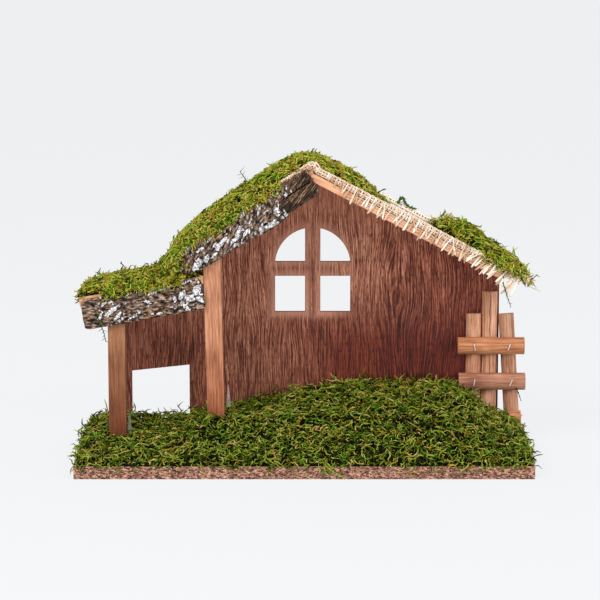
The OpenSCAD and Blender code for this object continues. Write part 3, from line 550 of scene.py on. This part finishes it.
def by_length(points, round_over=0):
    """A bent line by its length: the lengths, a point at each and its direction there. Its bends are
    rounded by the mean of its points under a bell that reaches round_over each way."""
    s, line = through(points, lambda whole: np.arange(0, whole, LINE_STEP))
    if round_over:
        wide = int(round_over / LINE_STEP)
        bell = np.hanning(2 * wide + 1)
        longer = np.pad(line, ((wide, wide), (0, 0)), "reflect", reflect_type="odd")
        line = np.stack([np.convolve(row, bell / bell.sum(), "valid") for row in longer.T], 1)
    return s, line, unit(np.gradient(line, LINE_STEP, axis=0))


def at_length(line, where):
    """The two places and the two parts of the direction of a line, at a length along it."""
    return [np.interp(where, line[0], line[k][:, j]) for k in (1, 2) for j in (0, 1)]


ridge_line = by_length([on_left(MAT_LAP, MAT_N), *RIDGE_BEND, on_right(MAT_LENGTH, MAT_N)], RIDGE_ROUND)
turns = np.linspace(-HEM_TURNS, 0, 60)
hem_r = HEM_R - HEM_TUCK * np.clip(-turns - 0.85, 0, 0.5) / 0.5
hem = np.stack([hem_r * np.sin(turns * tau), HEM_LIFT - hem_r * np.cos(turns * tau)], 1)
cross_line = by_length([*(hem + (HEM_Y[0], 0)), *(hem * (-1, 1) + (HEM_Y[1], 0))[::-1]])
u_end, v_end = ridge_line[0][-1], cross_line[0][-1]


def on_mat(u, v, lift):
    """The point u along the ridge line and v along the cross line, raised by lift. The cross line's
    height is laid off square to the ridge line, and between its hems the mat is wavy by a sum of two
    sines."""
    x, z, dx, dz = at_length(ridge_line, u)
    y, m, dy, dm = at_length(cross_line, v)
    sag = np.maximum(0.35 * np.sin(u / 9.1 + v / 17) + 0.25 * np.sin(v / 7.3 - u / 23), -0.3)
    m = m + lift * dy + sag * np.clip((v - HEM_ROLL) / 6, 0, 1) * np.clip((v_end - HEM_ROLL - v) / 6, 0, 1)
    return np.stack([x - dz * m, y - lift * dm, z + dx * m], -1)


def tubes(spines, across, upward, sides):
    """Closed tubes round many spines. spines is tubes by rings by 3, and so are the radii across and
    upward. Each ring is across cos t + upward sin t."""
    count, rings = spines.shape[:2]
    t = (np.arange(sides) * tau / sides)[:, None]
    skin = spines[:, :, None] + across[:, :, None] * np.cos(t) + upward[:, :, None] * np.sin(t)
    points = np.concatenate([skin.reshape(count, -1, 3), spines[:, [0, -1]]], 1)
    tip = rings * sides
    grid = np.arange(tip).reshape(rings, sides)
    grid = np.concatenate([grid, grid[:, :1]], 1)
    ends = [np.stack([a, b, np.full(sides, tip + k)], 1) for k, a, b in
            ((0, grid[0, 1:], grid[0, :-1]), (1, grid[-1, :-1], grid[-1, 1:]))]
    start = (np.arange(count) * (tip + 2))[:, None, None]
    return points.reshape(-1, 3), [(start + faces).reshape(-1, faces.shape[1])
                                   for faces in (lattice(grid), np.concatenate(ends))]


def toned(mesh, tone):
    """A mesh of like tubes with the tone of each tube at its points."""
    return *mesh, np.repeat(tone, len(mesh[0]) // len(tone))


def toned_piece(name, parts, finish, slot, nodes=()):
    """One piece of several toned meshes."""
    points, faces, tones = zip(*parts)
    first = np.cumsum([0] + [len(p) for p in points])
    faces = [f + start for start, group in zip(first, faces) for f in group]
    return piece(name, np.concatenate(points), faces, finish, slot, nodes, tone=np.concatenate(tones))


def yarns(fixed, run_length, cross_is_u, seed):
    """Yarns that pass over one crossing yarn and under the next: their lift is a cosine of the way
    along. They wander aside by a slow sine and vary in thickness."""
    dice = default_rng(seed)
    count, rings = len(fixed), int(run_length / YARN_STEP * 2)
    run = np.linspace(0.3, run_length - 0.3, rings) * np.ones((count, 1))
    row = np.arange(count)[:, None]
    lift = YARN_LIFT * np.cos(np.pi * (run / YARN_STEP + row)) * (1 if cross_is_u else -1)
    wander = 0.22 * np.sin(run / 11 + dice.random((count, 1)) * 6.3)
    place = fixed[:, None] + (wander + 0.1 * dice.normal(size=run.shape))
    thick = YARN_W / 2 * (1 + 0.18 * dice.normal(size=(count, 1)))
    thick = thick * (1 + 0.12 * dice.normal(size=run.shape))
    spine, beside = (on_mat(p, run, lift) if cross_is_u else on_mat(run, p, lift)
                     for p in (place, place + 0.05))
    side = unit(beside - spine)
    up = unit(np.cross(np.gradient(spine, axis=1), side))
    return toned(tubes(spine, side * thick[..., None], up * YARN_T / 2, 5), dice.random(count))


jute = Finish("jute", 0.15, Sheen_Weight=0.15, Sheen_Roughness=0.6)
tone, hair = jute.stored("tone"), jute.noise(0.5, 3, 0.6)
slub = jute.noise(9, 2)
cream = jute.ramp(tone * 0.35 + hair * 0.4 + slub * 0.25, (0.05, 176, 130, 96), (0.2, 212, 174, 144),
                  (0.38, 242, 220, 198), (0.58, 252, 240, 226), (0.85, 254, 249, 242))
# Painted shade: the front hem and the fringe are tinted tan, the yarns of low tone most.
front_shade = jute.along("Y").step(-9, -12.5)
jute.look(jute.blend(front_shade * (1 - tone * 0.8), cream, (220, 200, 178), "MULTIPLY"), 0.9, hair, 0.25)
warp = yarns(np.arange(0.8, v_end - 0.7, YARN_STEP), u_end, False, 61)
weft = yarns(np.arange(0.9, u_end - 0.7, YARN_STEP), v_end, True, 62)
mat = toned_piece("jute_weave", [warp, weft], jute, "jute", ["jute_mat"])


def hem_core(y):
    """The cloth rolled up inside a hem: a tube along the ridge line at the hem's height over it, wavy
    by the product of two sines."""
    u = np.linspace(1.5, u_end - 1.5, 260)
    x, z, dx, dz = at_length(ridge_line, u)
    spine = np.stack([x - dz * HEM_LIFT, np.full_like(u, y), z + dx * HEM_LIFT], 1)[None]
    high = HEM_CORE_R * (1 + 0.12 * np.sin(u * 1.7) * np.sin(u / 3.1))[:, None]
    up = np.stack([-dz, 0 * u, dx], 1)[None] * high
    # The core's low tone is painted shade inside the roll, seen through the hem's weave.
    return toned(tubes(spine, np.array([0, HEM_CORE_R, 0]) * np.ones_like(spine), up, 8), [-0.35])


cores = [toned_piece("jute_hem_core_" + side, [hem_core(y)], jute, "jute")
         for side, y in zip(("front", "back"), HEM_Y)]

# Fringe
# Flat strips of the same jute, knotted over the front hem and frayed where they were cut. They are
# short beside the ridge, and long and slanted at the eave. Two rows of yarn tie them into a net.
STRIPS, STRIP_STEP, FRINGE, FRINGE_MORE, EAVE_SHARE, EAVE_FROM = 43, 3.4, 9.8, 9.0, 0.74, 32
STRIP_TOP, STRIP_HALF_T, HEM_MIDDLE, TIE_N, TIE_Y = 9.5, 0.24, MAT_N + HEM_LIFT, [[4.6], [2.9]], -12.55
LOOSE, LOOSE_REACH, LOOSE_N = 40, 27, 8.0


def strips(x, y, z, wide, tones, seed):
    """Flat strips along their spines on the roof's front, with a tone for each."""
    dice = default_rng(seed)
    spine = np.stack([x, y, z], -1)
    ahead = np.gradient(spine, axis=1)
    across = unit(np.cross((0, 1.0, 0), ahead))
    depth = STRIP_HALF_T * unit(np.cross(ahead, across))
    return toned(tubes(spine, across * wide[..., None], depth, 6), dice.uniform(*tones, len(spine)))


def fringe():
    """Each strip starts on the hem, bends down over its round front, leans aside and widens towards its
    cut end; every third place has a second one that leans the other way. Two yarns tie them, and loose
    ends of the mat lie over the bark beyond the ridge."""
    dice = default_rng(71)

    def draw(low, more, power=1):
        return low + more * dice.random(every) ** power

    place = (np.arange(STRIPS) + 2) * STRIP_STEP + dice.normal(size=STRIPS) * 0.6
    second = place[::3] + 0.9
    place = np.concatenate([place, second, place[EAVE_FROM:] + 1.6])[:, None]
    late = np.clip((place / MAT_LENGTH - EAVE_SHARE) / (1 - EAVE_SHARE), 0, 1)
    every = place.shape
    lean = dice.normal(size=every) * 11 - 4 - 22 * (late > 0) + 14 * (dice.random(every) < 0.2)
    lean[STRIPS:STRIPS + len(second)] += 20
    lean = np.radians(lean)
    length = FRINGE * np.clip((place - 2) / 24, 0.3, 1) * draw(0.8, 0.45)
    length = length + FRINGE_MORE * late * draw(0.55, 0.5)
    t = np.linspace(0, 1, 9)
    wave = 0.35 * np.sin(t * 5 + draw(0, 6)) * t
    a, n = place + np.sin(lean) * length * t + wave, STRIP_TOP - np.cos(lean) * length * t
    x, z = on_right(a, n)
    round_hem = np.clip((HEM_R + 0.75) ** 2 - (n - HEM_MIDDLE) ** 2, (HEM_R - 0.35) ** 2, None) ** 0.5
    y = HEM_Y[0] - round_hem - 0.25 * np.sin(np.pi * t)
    y = y + draw(-0.2, 0.4) - 0.5 * t * late
    fan = draw(0.1, 1.25, 2) * (0.5 + 0.25 * late)
    wide = draw(0.42, 0.16) + fan * 0.55 * t ** 1.6 - 0.12 * np.sin(t * 7)
    hanging = strips(x, y, z, wide, (-0.3, 1.1), 72)
    a = np.linspace(MAT_LAP, MAT_LENGTH - 5, 380) * np.ones((2, 1))
    x, z = on_right(a, np.array(TIE_N) + 0.45 * np.sin(a / 1.3 + np.array([[0], [2]])) * np.cos(a / 7))
    y = TIE_Y - 0.25 * np.cos(a * np.pi / STRIP_STEP)
    tying = strips(x, y, z, np.full(a.shape, 0.3), (0.2, 0.5), 73)
    every = (LOOSE, 1)
    drop, reach = draw(1.2, 2.6, 2), draw(3.4, 2.2)
    a = draw(-1, LOOSE_REACH, 1.3) + dice.normal(size=every) * 1.6 * t
    x, z = on_left(a, LOOSE_N + 1.1 * np.sin(np.pi * t) - drop * t ** 2)
    wide = 0.26 + 0.2 * dice.random((LOOSE, len(t)))
    loose = strips(x, ROOF_FRONT_Y + 0.4 - reach * t, z, wide, (-0.9, 0.3), 74)
    return toned_piece("jute_fringe", [hanging, tying, loose], jute, "jute")


fringe()


# Moss
# Dried and dyed sheet moss, glued over the base and the roofs and hanging over the bark and the hem.
# Curled stems, with straw among them, deep green on the base and yellower on the roofs, stand out of a
# mat painted near black as the shade deep among them. The roof clumps swell and sink at places of their
# own.
def outward(points, corners):
    """Each triangle's outward normal, as long as twice its area."""
    a, b, c = (points[corners[:, k]] for k in range(3))
    return np.cross(b - a, c - a)


def skin_of(node):
    """The triangles of a CAD node, their corners merged, their normals and areas, in millimetres."""
    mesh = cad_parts[node].data
    mesh.calc_loop_triangles()
    points = np.empty(len(mesh.vertices) * 3)
    mesh.vertices.foreach_get("co", points)
    corners = np.empty(len(mesh.loop_triangles) * 3, int)
    mesh.loop_triangles.foreach_get("vertices", corners)
    points = points.reshape(-1, 3) / MM
    _, first, same = np.unique(points.round(2), axis=0, return_index=True, return_inverse=True)
    points, corners = points[first], same.ravel()[corners].reshape(-1, 3)
    out = outward(points, corners)
    area = np.linalg.norm(out, axis=1)
    real = area > 1e-4
    return points, corners[real], out[real] / area[real, None], area[real] / 2


SWELLS = {"moss_ridge": [(-93, 9, 4.5)], "moss_eave": [(94, 5.5, -4.5), (109, 6, 3.2)]}


def swell(at, node):
    """How far a clump swells or sinks at a place: a sum of bells (x, reach, height)."""
    return sum((high * np.exp(-((at[:, 0] - x) / reach) ** 2) for x, reach, high in SWELLS.get(node, ())),
               np.zeros(len(at)))


def moss_floor(node, sink):
    """The mat under the stems: the CAD solid cut twice finer, sunk along its upward normals, and made
    lumpy by ripples."""
    points, corners, _, _ = skin_of(node)
    for _ in range(2):
        edges = np.sort(corners[:, [[0, 1], [1, 2], [2, 0]]].reshape(-1, 2), axis=1)
        pairs, which = np.unique(edges, axis=0, return_inverse=True)
        ab, bc, ca = (which.ravel().reshape(-1, 3) + len(points)).T
        points = np.concatenate([points, points[pairs].mean(axis=1)])
        a, b, c = corners.T
        corners = np.concatenate([np.stack(f, 1) for f in
                                  ((a, ab, ca), (ab, b, bc), (ca, bc, c), (ab, bc, ca))])
    normal = np.zeros_like(points)
    for k in range(3):
        np.add.at(normal, corners[:, k], outward(points, corners))
    normal = unit(normal)
    bump = ripples(points[:, 0] + points[:, 2], points[:, 1], 5, 83, 3)
    upper = np.clip(normal[:, 2] * 2 + 0.6, 0, 1)
    points = points + normal * ((bump * 0.9 - sink + swell(points, node)) * upper)[:, None]
    return piece(node + "_floor", points, [corners], under_moss_shade, "moss", [node])


def grow(name, root, normal, seed, finish, long, thick, sink, tint, hang=0.0, upright=0.4, tuft=1.5,
         comb=(0, 0, 0)):
    """Curled stems from their roots. A stem starts sink under the skin, higher in a tuft, a folded
    ripple, and runs out by t d + t^2 b with a turn of a helix on top, more often the way it was combed.
    It is three-sided, thinner by turns and closed at both ends. Its tone is lower in a hollow, as painted
    shade, and towards its root, partly painted shade and partly the stem's own darker foot."""
    dice = default_rng(seed)
    count = len(root)
    side = dice.normal(size=(count, 3)) + comb
    side = unit(side - normal * (side * normal).sum(1, keepdims=True))
    way = normal * (upright * dice.random((count, 1)) ** 1.6) + side
    way[:, 2] -= hang * dice.random(count)
    way = unit(way)
    length = long * (0.5 + dice.random(count) ** 1.6)
    e1 = unit(np.cross(way, normal + 0.3 * dice.normal(size=(count, 3))))
    e2 = np.cross(way, e1)
    rings, every = 5, (count, 1, 1)
    t = np.linspace(0, 1, rings)[None, :, None]
    bend = dice.normal(size=every) * 0.4
    curl = (0.09 + 0.12 * dice.random(every)) * length[:, None, None]
    phase = dice.random(every) * tau
    turns = (0.7 + 0.8 * dice.random(every)) * tau
    x, y, z = root.T
    bump = 1 - 2 * np.abs(ripples(x + 0.6 * z, y - 0.5 * z, 8, 91, 3, 0.55))
    spine = (root + normal * (tuft * bump - sink)[:, None])[:, None] + length[:, None, None] * (
        t * way[:, None] + t ** 2 * bend * e1[:, None])
    spine = spine + curl * ((np.cos(turns * t + phase) - np.cos(phase)) * e1[:, None]
                            + (np.sin(turns * t + phase) - np.sin(phase)) * e2[:, None] * 0.7)
    spine[..., 2] = np.maximum(spine[..., 2], 0.3 + thick)
    thin = np.array([0.7, 1.0, 0.7, 0.95, 0.3])[None, :, None]
    radius = thick * (0.65 + 0.7 * dice.random(every)) * thin
    points, faces = tubes(spine, e1[:, None] * radius, e2[:, None] * radius, 3)
    cloud = ripples(x, y + z, 22, seed + 1, 3)
    # Painted shade: paler on a tuft's top and darker in a hollow between tufts.
    tone = np.clip(tint + 0.21 * dice.normal(size=count) + 0.13 * cloud + 0.26 * bump, 0.02, 0.86)
    tone = np.where(dice.random(count) < 0.013, 0.95, tone)[:, None]
    # Darker towards the root: partly the stem's own darker foot, partly painted shade low in the moss.
    tone = np.concatenate([tone + np.repeat(np.linspace(-0.18, 0.1, rings), 3), tone - 0.18, tone + 0.1], 1)
    return piece(name, points, faces, finish, "moss", tone=tone)


def stems(node, kind, count, seed, finish, long, thick, sink, tint, reach=lambda at: True, **more):
    """Stems over a CAD solid's faces, as many to each as its share of the area. A root lies in its
    triangle at a(1 - r) + b r(1 - q) + c r q, with r the square root of a draw."""
    points, corners, out, area = skin_of(node)
    dice = default_rng(seed + 50)
    weight = area * ((out[:, 2] > -0.3) & reach(points[corners].mean(axis=1)))
    pick = dice.choice(len(area), count, p=weight / weight.sum())
    r, q = np.sqrt(dice.random((count, 1))), dice.random((count, 1))
    a, b, c = (points[corners[pick, k]] for k in range(3))
    root = a * (1 - r) + b * (r * (1 - q)) + c * (r * q)
    sink = sink - swell(root, node)
    return grow(f"{node}_{kind}", root, out[pick], seed, finish, long, thick, sink, tint, **more)


def moss_finish(name, *stops):
    """Stems from dark to pale by their tone, a little browner or greener from patch to patch."""
    moss = Finish(name, 0.12)
    leaf = moss.noise(0.8, 2)
    colour = moss.ramp(moss.stored("tone") + (leaf - 0.5) * 0.35, *stops)
    patch = moss.noise(7, 2)
    colour = moss.blend(patch.step(0.5, 0.62) * 0.8, colour, (246, 208, 150), "MULTIPLY")
    colour = moss.blend(patch.step(0.48, 0.38) * 0.8, colour, (196, 240, 150), "MULTIPLY")
    return moss.look(colour, 0.6 + leaf * 0.3, leaf, 0.2)


bed_moss = moss_finish("moss_deep", (0.08, 14, 18, 3), (0.26, 40, 52, 8), (0.42, 78, 94, 16),
                       (0.58, 116, 134, 34), (0.76, 158, 168, 62), (0.93, 206, 178, 120))
roof_moss = moss_finish("moss_yellow", (0.08, 26, 28, 4), (0.26, 70, 80, 10), (0.42, 118, 132, 22),
                        (0.56, 158, 172, 44), (0.74, 198, 196, 92), (0.93, 168, 122, 62))
# The mat under the stems is painted near black, as the shade deep in the moss.
under_moss_shade = Finish("moss_under_shade", 0.1)
clump = under_moss_shade.noise(1.6, 4, 0.7)
under_moss_shade.look(under_moss_shade.ramp(clump, (0.35, 10, 10, 3), (0.55, 30, 30, 8), (0.75, 66, 66, 20)), 0.95, clump, 1.2)
POCKETS, POCKET_Y, RIM = [(-59.5, 7.6), (-125, 7.2)], (-13, 0), 4


def clear_of_posts(at):
    """Away from the pockets that the posts stand in, (middle, half width) along x."""
    inside = (at[:, 1] > POCKET_Y[0]) & (at[:, 1] < POCKET_Y[1])
    return ~(inside & np.any([abs(at[:, 0] - x) < half for x, half in POCKETS], axis=0))


def by_the_rim(at):
    """Within RIM of the base's front and side edges."""
    return (at[:, 1] < RIM - BOARD_HALF_D) | (abs(at[:, 0]) > BOARD_HALF_W - RIM)


for node, sink in (("moss_bed", 3.4), ("moss_ridge", 4.6), ("moss_lean_to", 4.2), ("moss_eave", 3.6)):
    moss_floor(node, sink)
stems("moss_bed", "stems", 5200, 101, bed_moss, 7.2, 0.58, 1.8, 0.34, clear_of_posts, tuft=2.8)
stems("moss_bed", "upper_stems", 4800, 103, bed_moss, 5.3, 0.5, 1.4, 0.4, clear_of_posts, upright=0.6,
      tuft=2.8)
stems("moss_bed", "rim_stems", 520, 111, bed_moss, 4.6, 0.45, 0.4, 0.4, by_the_rim, upright=0.25,
      hang=1.0, comb=(0, 0, -0.8))
stems("moss_ridge", "stems", 5200, 105, roof_moss, 4.4, 0.6, 3.4, 0.39, tuft=2.2)
stems("moss_lean_to", "stems", 2800, 107, roof_moss, 4.2, 0.56, 3.8, 0.33, upright=0.3, tuft=2.1)
stems("moss_eave", "stems", 2000, 109, roof_moss, 5.8, 0.56, 2.3, 0.35, hang=0.3, comb=(0.5, 0, -0.25),
      tuft=2.0)


def over_the_edge(name, on_slope, first, last, high, drop, count, seed, behind=-11.8, proud=5.2,
                  lean=-0.25):
    """Stems rooted in the moss behind a slab or the hem, over its top edge high(a) and down its face by
    as much as drop, fewer of them far down, by the cube of a draw."""
    dice = default_rng(seed)
    a = dice.uniform(first, last, count)
    out = dice.random(count)
    n = high(a) + 1.0 + dice.normal(size=count) * 0.7 - (1.0 + drop) * out ** 3
    x, z = on_slope(a, n)
    root = np.stack([x, behind - proud * np.minimum(out * 1.6, 1), z], 1)
    normal = unit(np.stack([lean + 0 * a, -0.2 - 0.8 * out, 1 - 0.9 * out], 1))
    return grow(name, root, normal, seed + 1, roof_moss, 4.0, 0.5, 0.6, 0.37, hang=0.5)


over_the_edge("moss_over_bark_main", on_left, 21, 100, main_bark_high, 1.0, 620, 121)
over_the_edge("moss_over_bark_end", on_left, 102, 113, main_bark_high, 9.0, 320, 125)
over_the_edge("moss_over_bark_lean_to", on_bay, 13, 66, bent_edge((0, 5)), 1.2, 520, 123)
over_the_edge("moss_over_hem", on_right, 122, 152, bent_edge((0, 9.2)), 2.4, 380, 131, -10.0, 3.4, 0.25)
# Loose stems lie on the mat below the ridge's clump, fewer of them farther off.
STRAYS, CLUMP_END = 110, 47.6
dice = default_rng(127)
x, z = on_right(CLUMP_END + 1.6 * np.abs(dice.normal(size=STRAYS)) ** 1.5, MAT_N + 2)
root = np.stack([x, dice.uniform(-11, 52, STRAYS), z], 1)
normal = np.tile((sin(RIGHT_PITCH), 0, cos(RIGHT_PITCH)), (STRAYS, 1))
grow("moss_ridge_strays", root, normal, 128, roof_moss, 3.8, 0.5, 0.8, 0.36, upright=0.25, tuft=0.6)

# Sprigs
# Single stems of a coarser, dark green moss that stick out of the clumps or hang from them, most with
# side shoots. For each: its radius, tone, number of shoots and their length, and the points it passes.
SPRIGS = [
    (1.0, 0.3, 30, 1.5, [
        (64.6, 49, 168), (66.6, 50, 172.2), (68.3, 50, 171.9), (69.4, 50, 168.1), (72.2, 50, 165.3),
        (77, 50, 163.9)]),
    (0.45, 0.3, 9, 1.6, [(131.4, -12.6, 123), (133.4, -14, 116.8), (135.1, -14, 111.4), (137.2, -14, 106)]),
    (0.45, 0.2, 11, 2.6, [(-34.5, 14, 180), (-38.5, 14, 187), (-43, 15, 193.6)]),
    (0.6, 0.35, 14, 0.9, [
        (-137, -20, 16), (-139.4, -20, 19.5), (-142.7, -20, 24), (-146.6, -20, 25.7), (-150, -20, 24.7),
        (-151, -20, 21.3), (-150.1, -20, 19.2)]),
    (0.6, 0.6, 9, 2.4, [(12, -58.8, 11), (15.5, -61.6, 8), (20, -62.2, 4.6), (26.5, -62.6, 1.4)]),
    (0.45, 0.2, 16, 2.2, [
        (-137.6, -14.6, 104), (-136.6, -17.6, 99), (-134.7, -17.6, 94.9), (-132.8, -16.6, 88.9),
        (-131.6, -16, 82.8)]),
    (0.45, 0.1, 0, 0, [(146.6, 38.4, 41), (148.4, 38.2, 37), (150.1, 38, 31.8)])]


def sprig(index, thick, tint, shoots, shoot, way):
    """One stem through its points, smoothed by length, and side shoots, left and right by turns, that run
    out by u o + 0.3 u^2 d, with o aside and d ahead."""
    dice = default_rng(140 + index)
    t, line = through(way, lambda whole: np.linspace(0, whole, 40))
    for _ in range(12):
        line[1:-1] = (line[:-2] + 2 * line[1:-1] + line[2:]) / 4
    ahead = np.gradient(line, axis=0)
    side = unit(np.cross(ahead, (0, 1.0, 0)))
    deep = unit(np.cross(side, ahead))
    radius = thick * (1 + 0.25 * np.sin(t * 2.1))[:, None] * np.linspace(1, 0.45, 40)[:, None]
    meshes = [tubes(line[None], (side * radius)[None], (-deep * radius)[None], 6)]
    if shoots:
        at = np.linspace(6, 38, shoots).astype(int)
        hand = np.where(np.arange(shoots) % 2, 1.0, -1.0)[:, None]
        ahead = unit(ahead[at])
        out = side[at] * hand + 0.5 * ahead + 0.3 * dice.normal(size=(shoots, 3))
        u = np.linspace(0, 1, 5)[None, :, None]
        long = shoot * (0.6 + 0.8 * dice.random(shoots))[:, None, None]
        spine = line[at][:, None] + long * (u * out[:, None] + 0.3 * u ** 2 * ahead[:, None])
        small = thick * 0.55 * (1.1 - u)
        meshes.append(tubes(spine, ahead[:, None] * small, np.cross(out, ahead)[:, None] * small, 3))
    return [(np.maximum(points, (-inf, -inf, 0.2)), faces, np.full(len(points), tint))
            for points, faces in meshes]


sprig_moss = moss_finish("moss_sprig", (0.1, 24, 40, 10), (0.3, 56, 92, 20), (0.62, 136, 162, 46))
toned_piece("moss_sprigs", [part for k, row in enumerate(SPRIGS) for part in sprig(k, *row)],
            sprig_moss, "moss")

# Fence
# Three half-round sticks, peeled and split by hand, with three half-round rails across them. The tall
# stick has a long drying crack. Thin wire staples hold the rails.
STICK_LEAN, UPRIGHT, LYING = radians(3.8), (1.3, 1.3, 26), (26, 1.3, 1.1)
PALE_STICK = ((146, 92, 64), (198, 142, 110), (228, 182, 152))
CRACK_X, CRACK_LOW, CRACK_HIGH, CRACK_WIDE = 128.5, 40, 107, (0.45, 0.12)
softwood("stick_left_wood", *PALE_STICK, UPRIGHT).dress("fence_stick_left")
softwood("stick_right_wood", (128, 82, 60), (178, 126, 98), (208, 162, 134), UPRIGHT,
         (0, -STICK_LEAN, 0)).dress("fence_stick_right")
softwood("rail_wood", (132, 76, 46), (182, 118, 80), (212, 156, 114), LYING).dress(
    "fence_rail_top", "fence_rail_bottom")
# The middle rail is darker and pinker than the other two.
softwood("rail_middle_darker_wood", (124, 76, 56), (168, 114, 88), (200, 150, 122), LYING).dress(
    "fence_rail_middle")
tall = softwood("stick_tall_wood", *PALE_STICK, UPRIGHT).dress("fence_stick_tall")
sway, z = tall.noise((40, 40, 9), 2) * 2.4, tall.along("Z")
crack = abs(tall.along("X") - CRACK_X - sway + 1.2).step(*CRACK_WIDE)
crack = crack * z.step(CRACK_LOW, CRACK_LOW + 6) * z.step(CRACK_HIGH + 1, CRACK_HIGH)
whole = Value(tall, tall.surface.inputs["Base Color"].links[0].from_socket)
tall.set(Base_Color=tall.blend(crack * 0.85, whole, (74, 44, 30)))

# Staples and brads
# Bright steel wire, a little worn. The staples are driven through the rails, and the headless brads
# through the roof boards and up through the base.
steel = Finish("steel", Metallic=1.0)
worn = steel.noise(1.2, 3)
steel.look(steel.ramp(worn, (0.3, 206, 205, 204), (0.7, 250, 250, 248)), 0.3 + worn * 0.25, worn, 0.03)
steel.dress("fence_staples", "roof_brads", "base_brads")

# Glue
# Clear hot-melt glue, squeezed out hot in a bead where a post stands in the moss, and in a fillet
# along the wall's foot.
glue = Finish("glue", 0.6, Alpha=0.16)
haze = glue.noise((2.2, 2.2, 3.5), 2)
glue.look(glue.ramp(haze, (0.3, 206, 198, 188), (0.7, 236, 232, 226)), 0.06 + haze * 0.12, haze, 0.2)
glue.dress("glue_mid_post", "glue_left_post", "glue_wall_foot")

# Studio
# A plain pale floor under two square lamps and an even sky. A camera ray sees the floor and the sky
# paler than they light the stable. Places and sizes here are in metres.
PALE = (243, 244, 246)
bpy.ops.mesh.primitive_plane_add(size=24, location=(0, 6, 0))
floor = bpy.context.object
floor.name = "floor"
paper = Finish("paper", 0.1, Roughness=0.9)
fibre = paper.noise(300)
paper.set(Base_Color=paper.ramp(fibre, (0, 236, 237, 239), (1, 240, 241, 243)))
shown = paper.node("LightPath", out="Is Camera Ray") * 0.88
glow = paper.node("Emission", Color=PALE, Strength=1)
mixed = paper.node("MixShader", shown, Value(paper, paper.surface.outputs[0]), glow)
paper.feed(paper.tree.nodes["Material Output"].inputs["Surface"], mixed)
floor.data.materials.append(paper.material)

world = bpy.data.worlds.new("studio")
scene.world = world
world.use_nodes = True
sky = Graph(world.node_tree)
rays = [sky.node("LightPath", out=f"Is {kind} Ray") for kind in ("Camera", "Glossy", "Transmission")]
light = sky.node("Background", (255, 255, 255), 0.62)
backdrop = sky.node("Background", PALE, 1)
mixed = sky.node("MixShader", rays[0].most(rays[1]).most(rays[2]), light, backdrop)
sky.feed(sky.tree.nodes["World Output"].inputs["Surface"], mixed)

# Each lamp faces the middle of the stable.
for name, place, size, watts in (("key", (-0.75, -1.1, 1.15), 0.9, 20), ("fill", (1.1, -0.9, 0.7), 1.0, 9)):
    lamp = bpy.data.lights.new(name, "AREA")
    lamp.size, lamp.energy = size, watts
    made = placed(name, lamp)
    made.location = place
    made.rotation_euler = (made.location - Vector((0, 0, 0.1))).to_track_quat("Z", "Y").to_euler()
scene.view_settings.view_transform = "Standard"
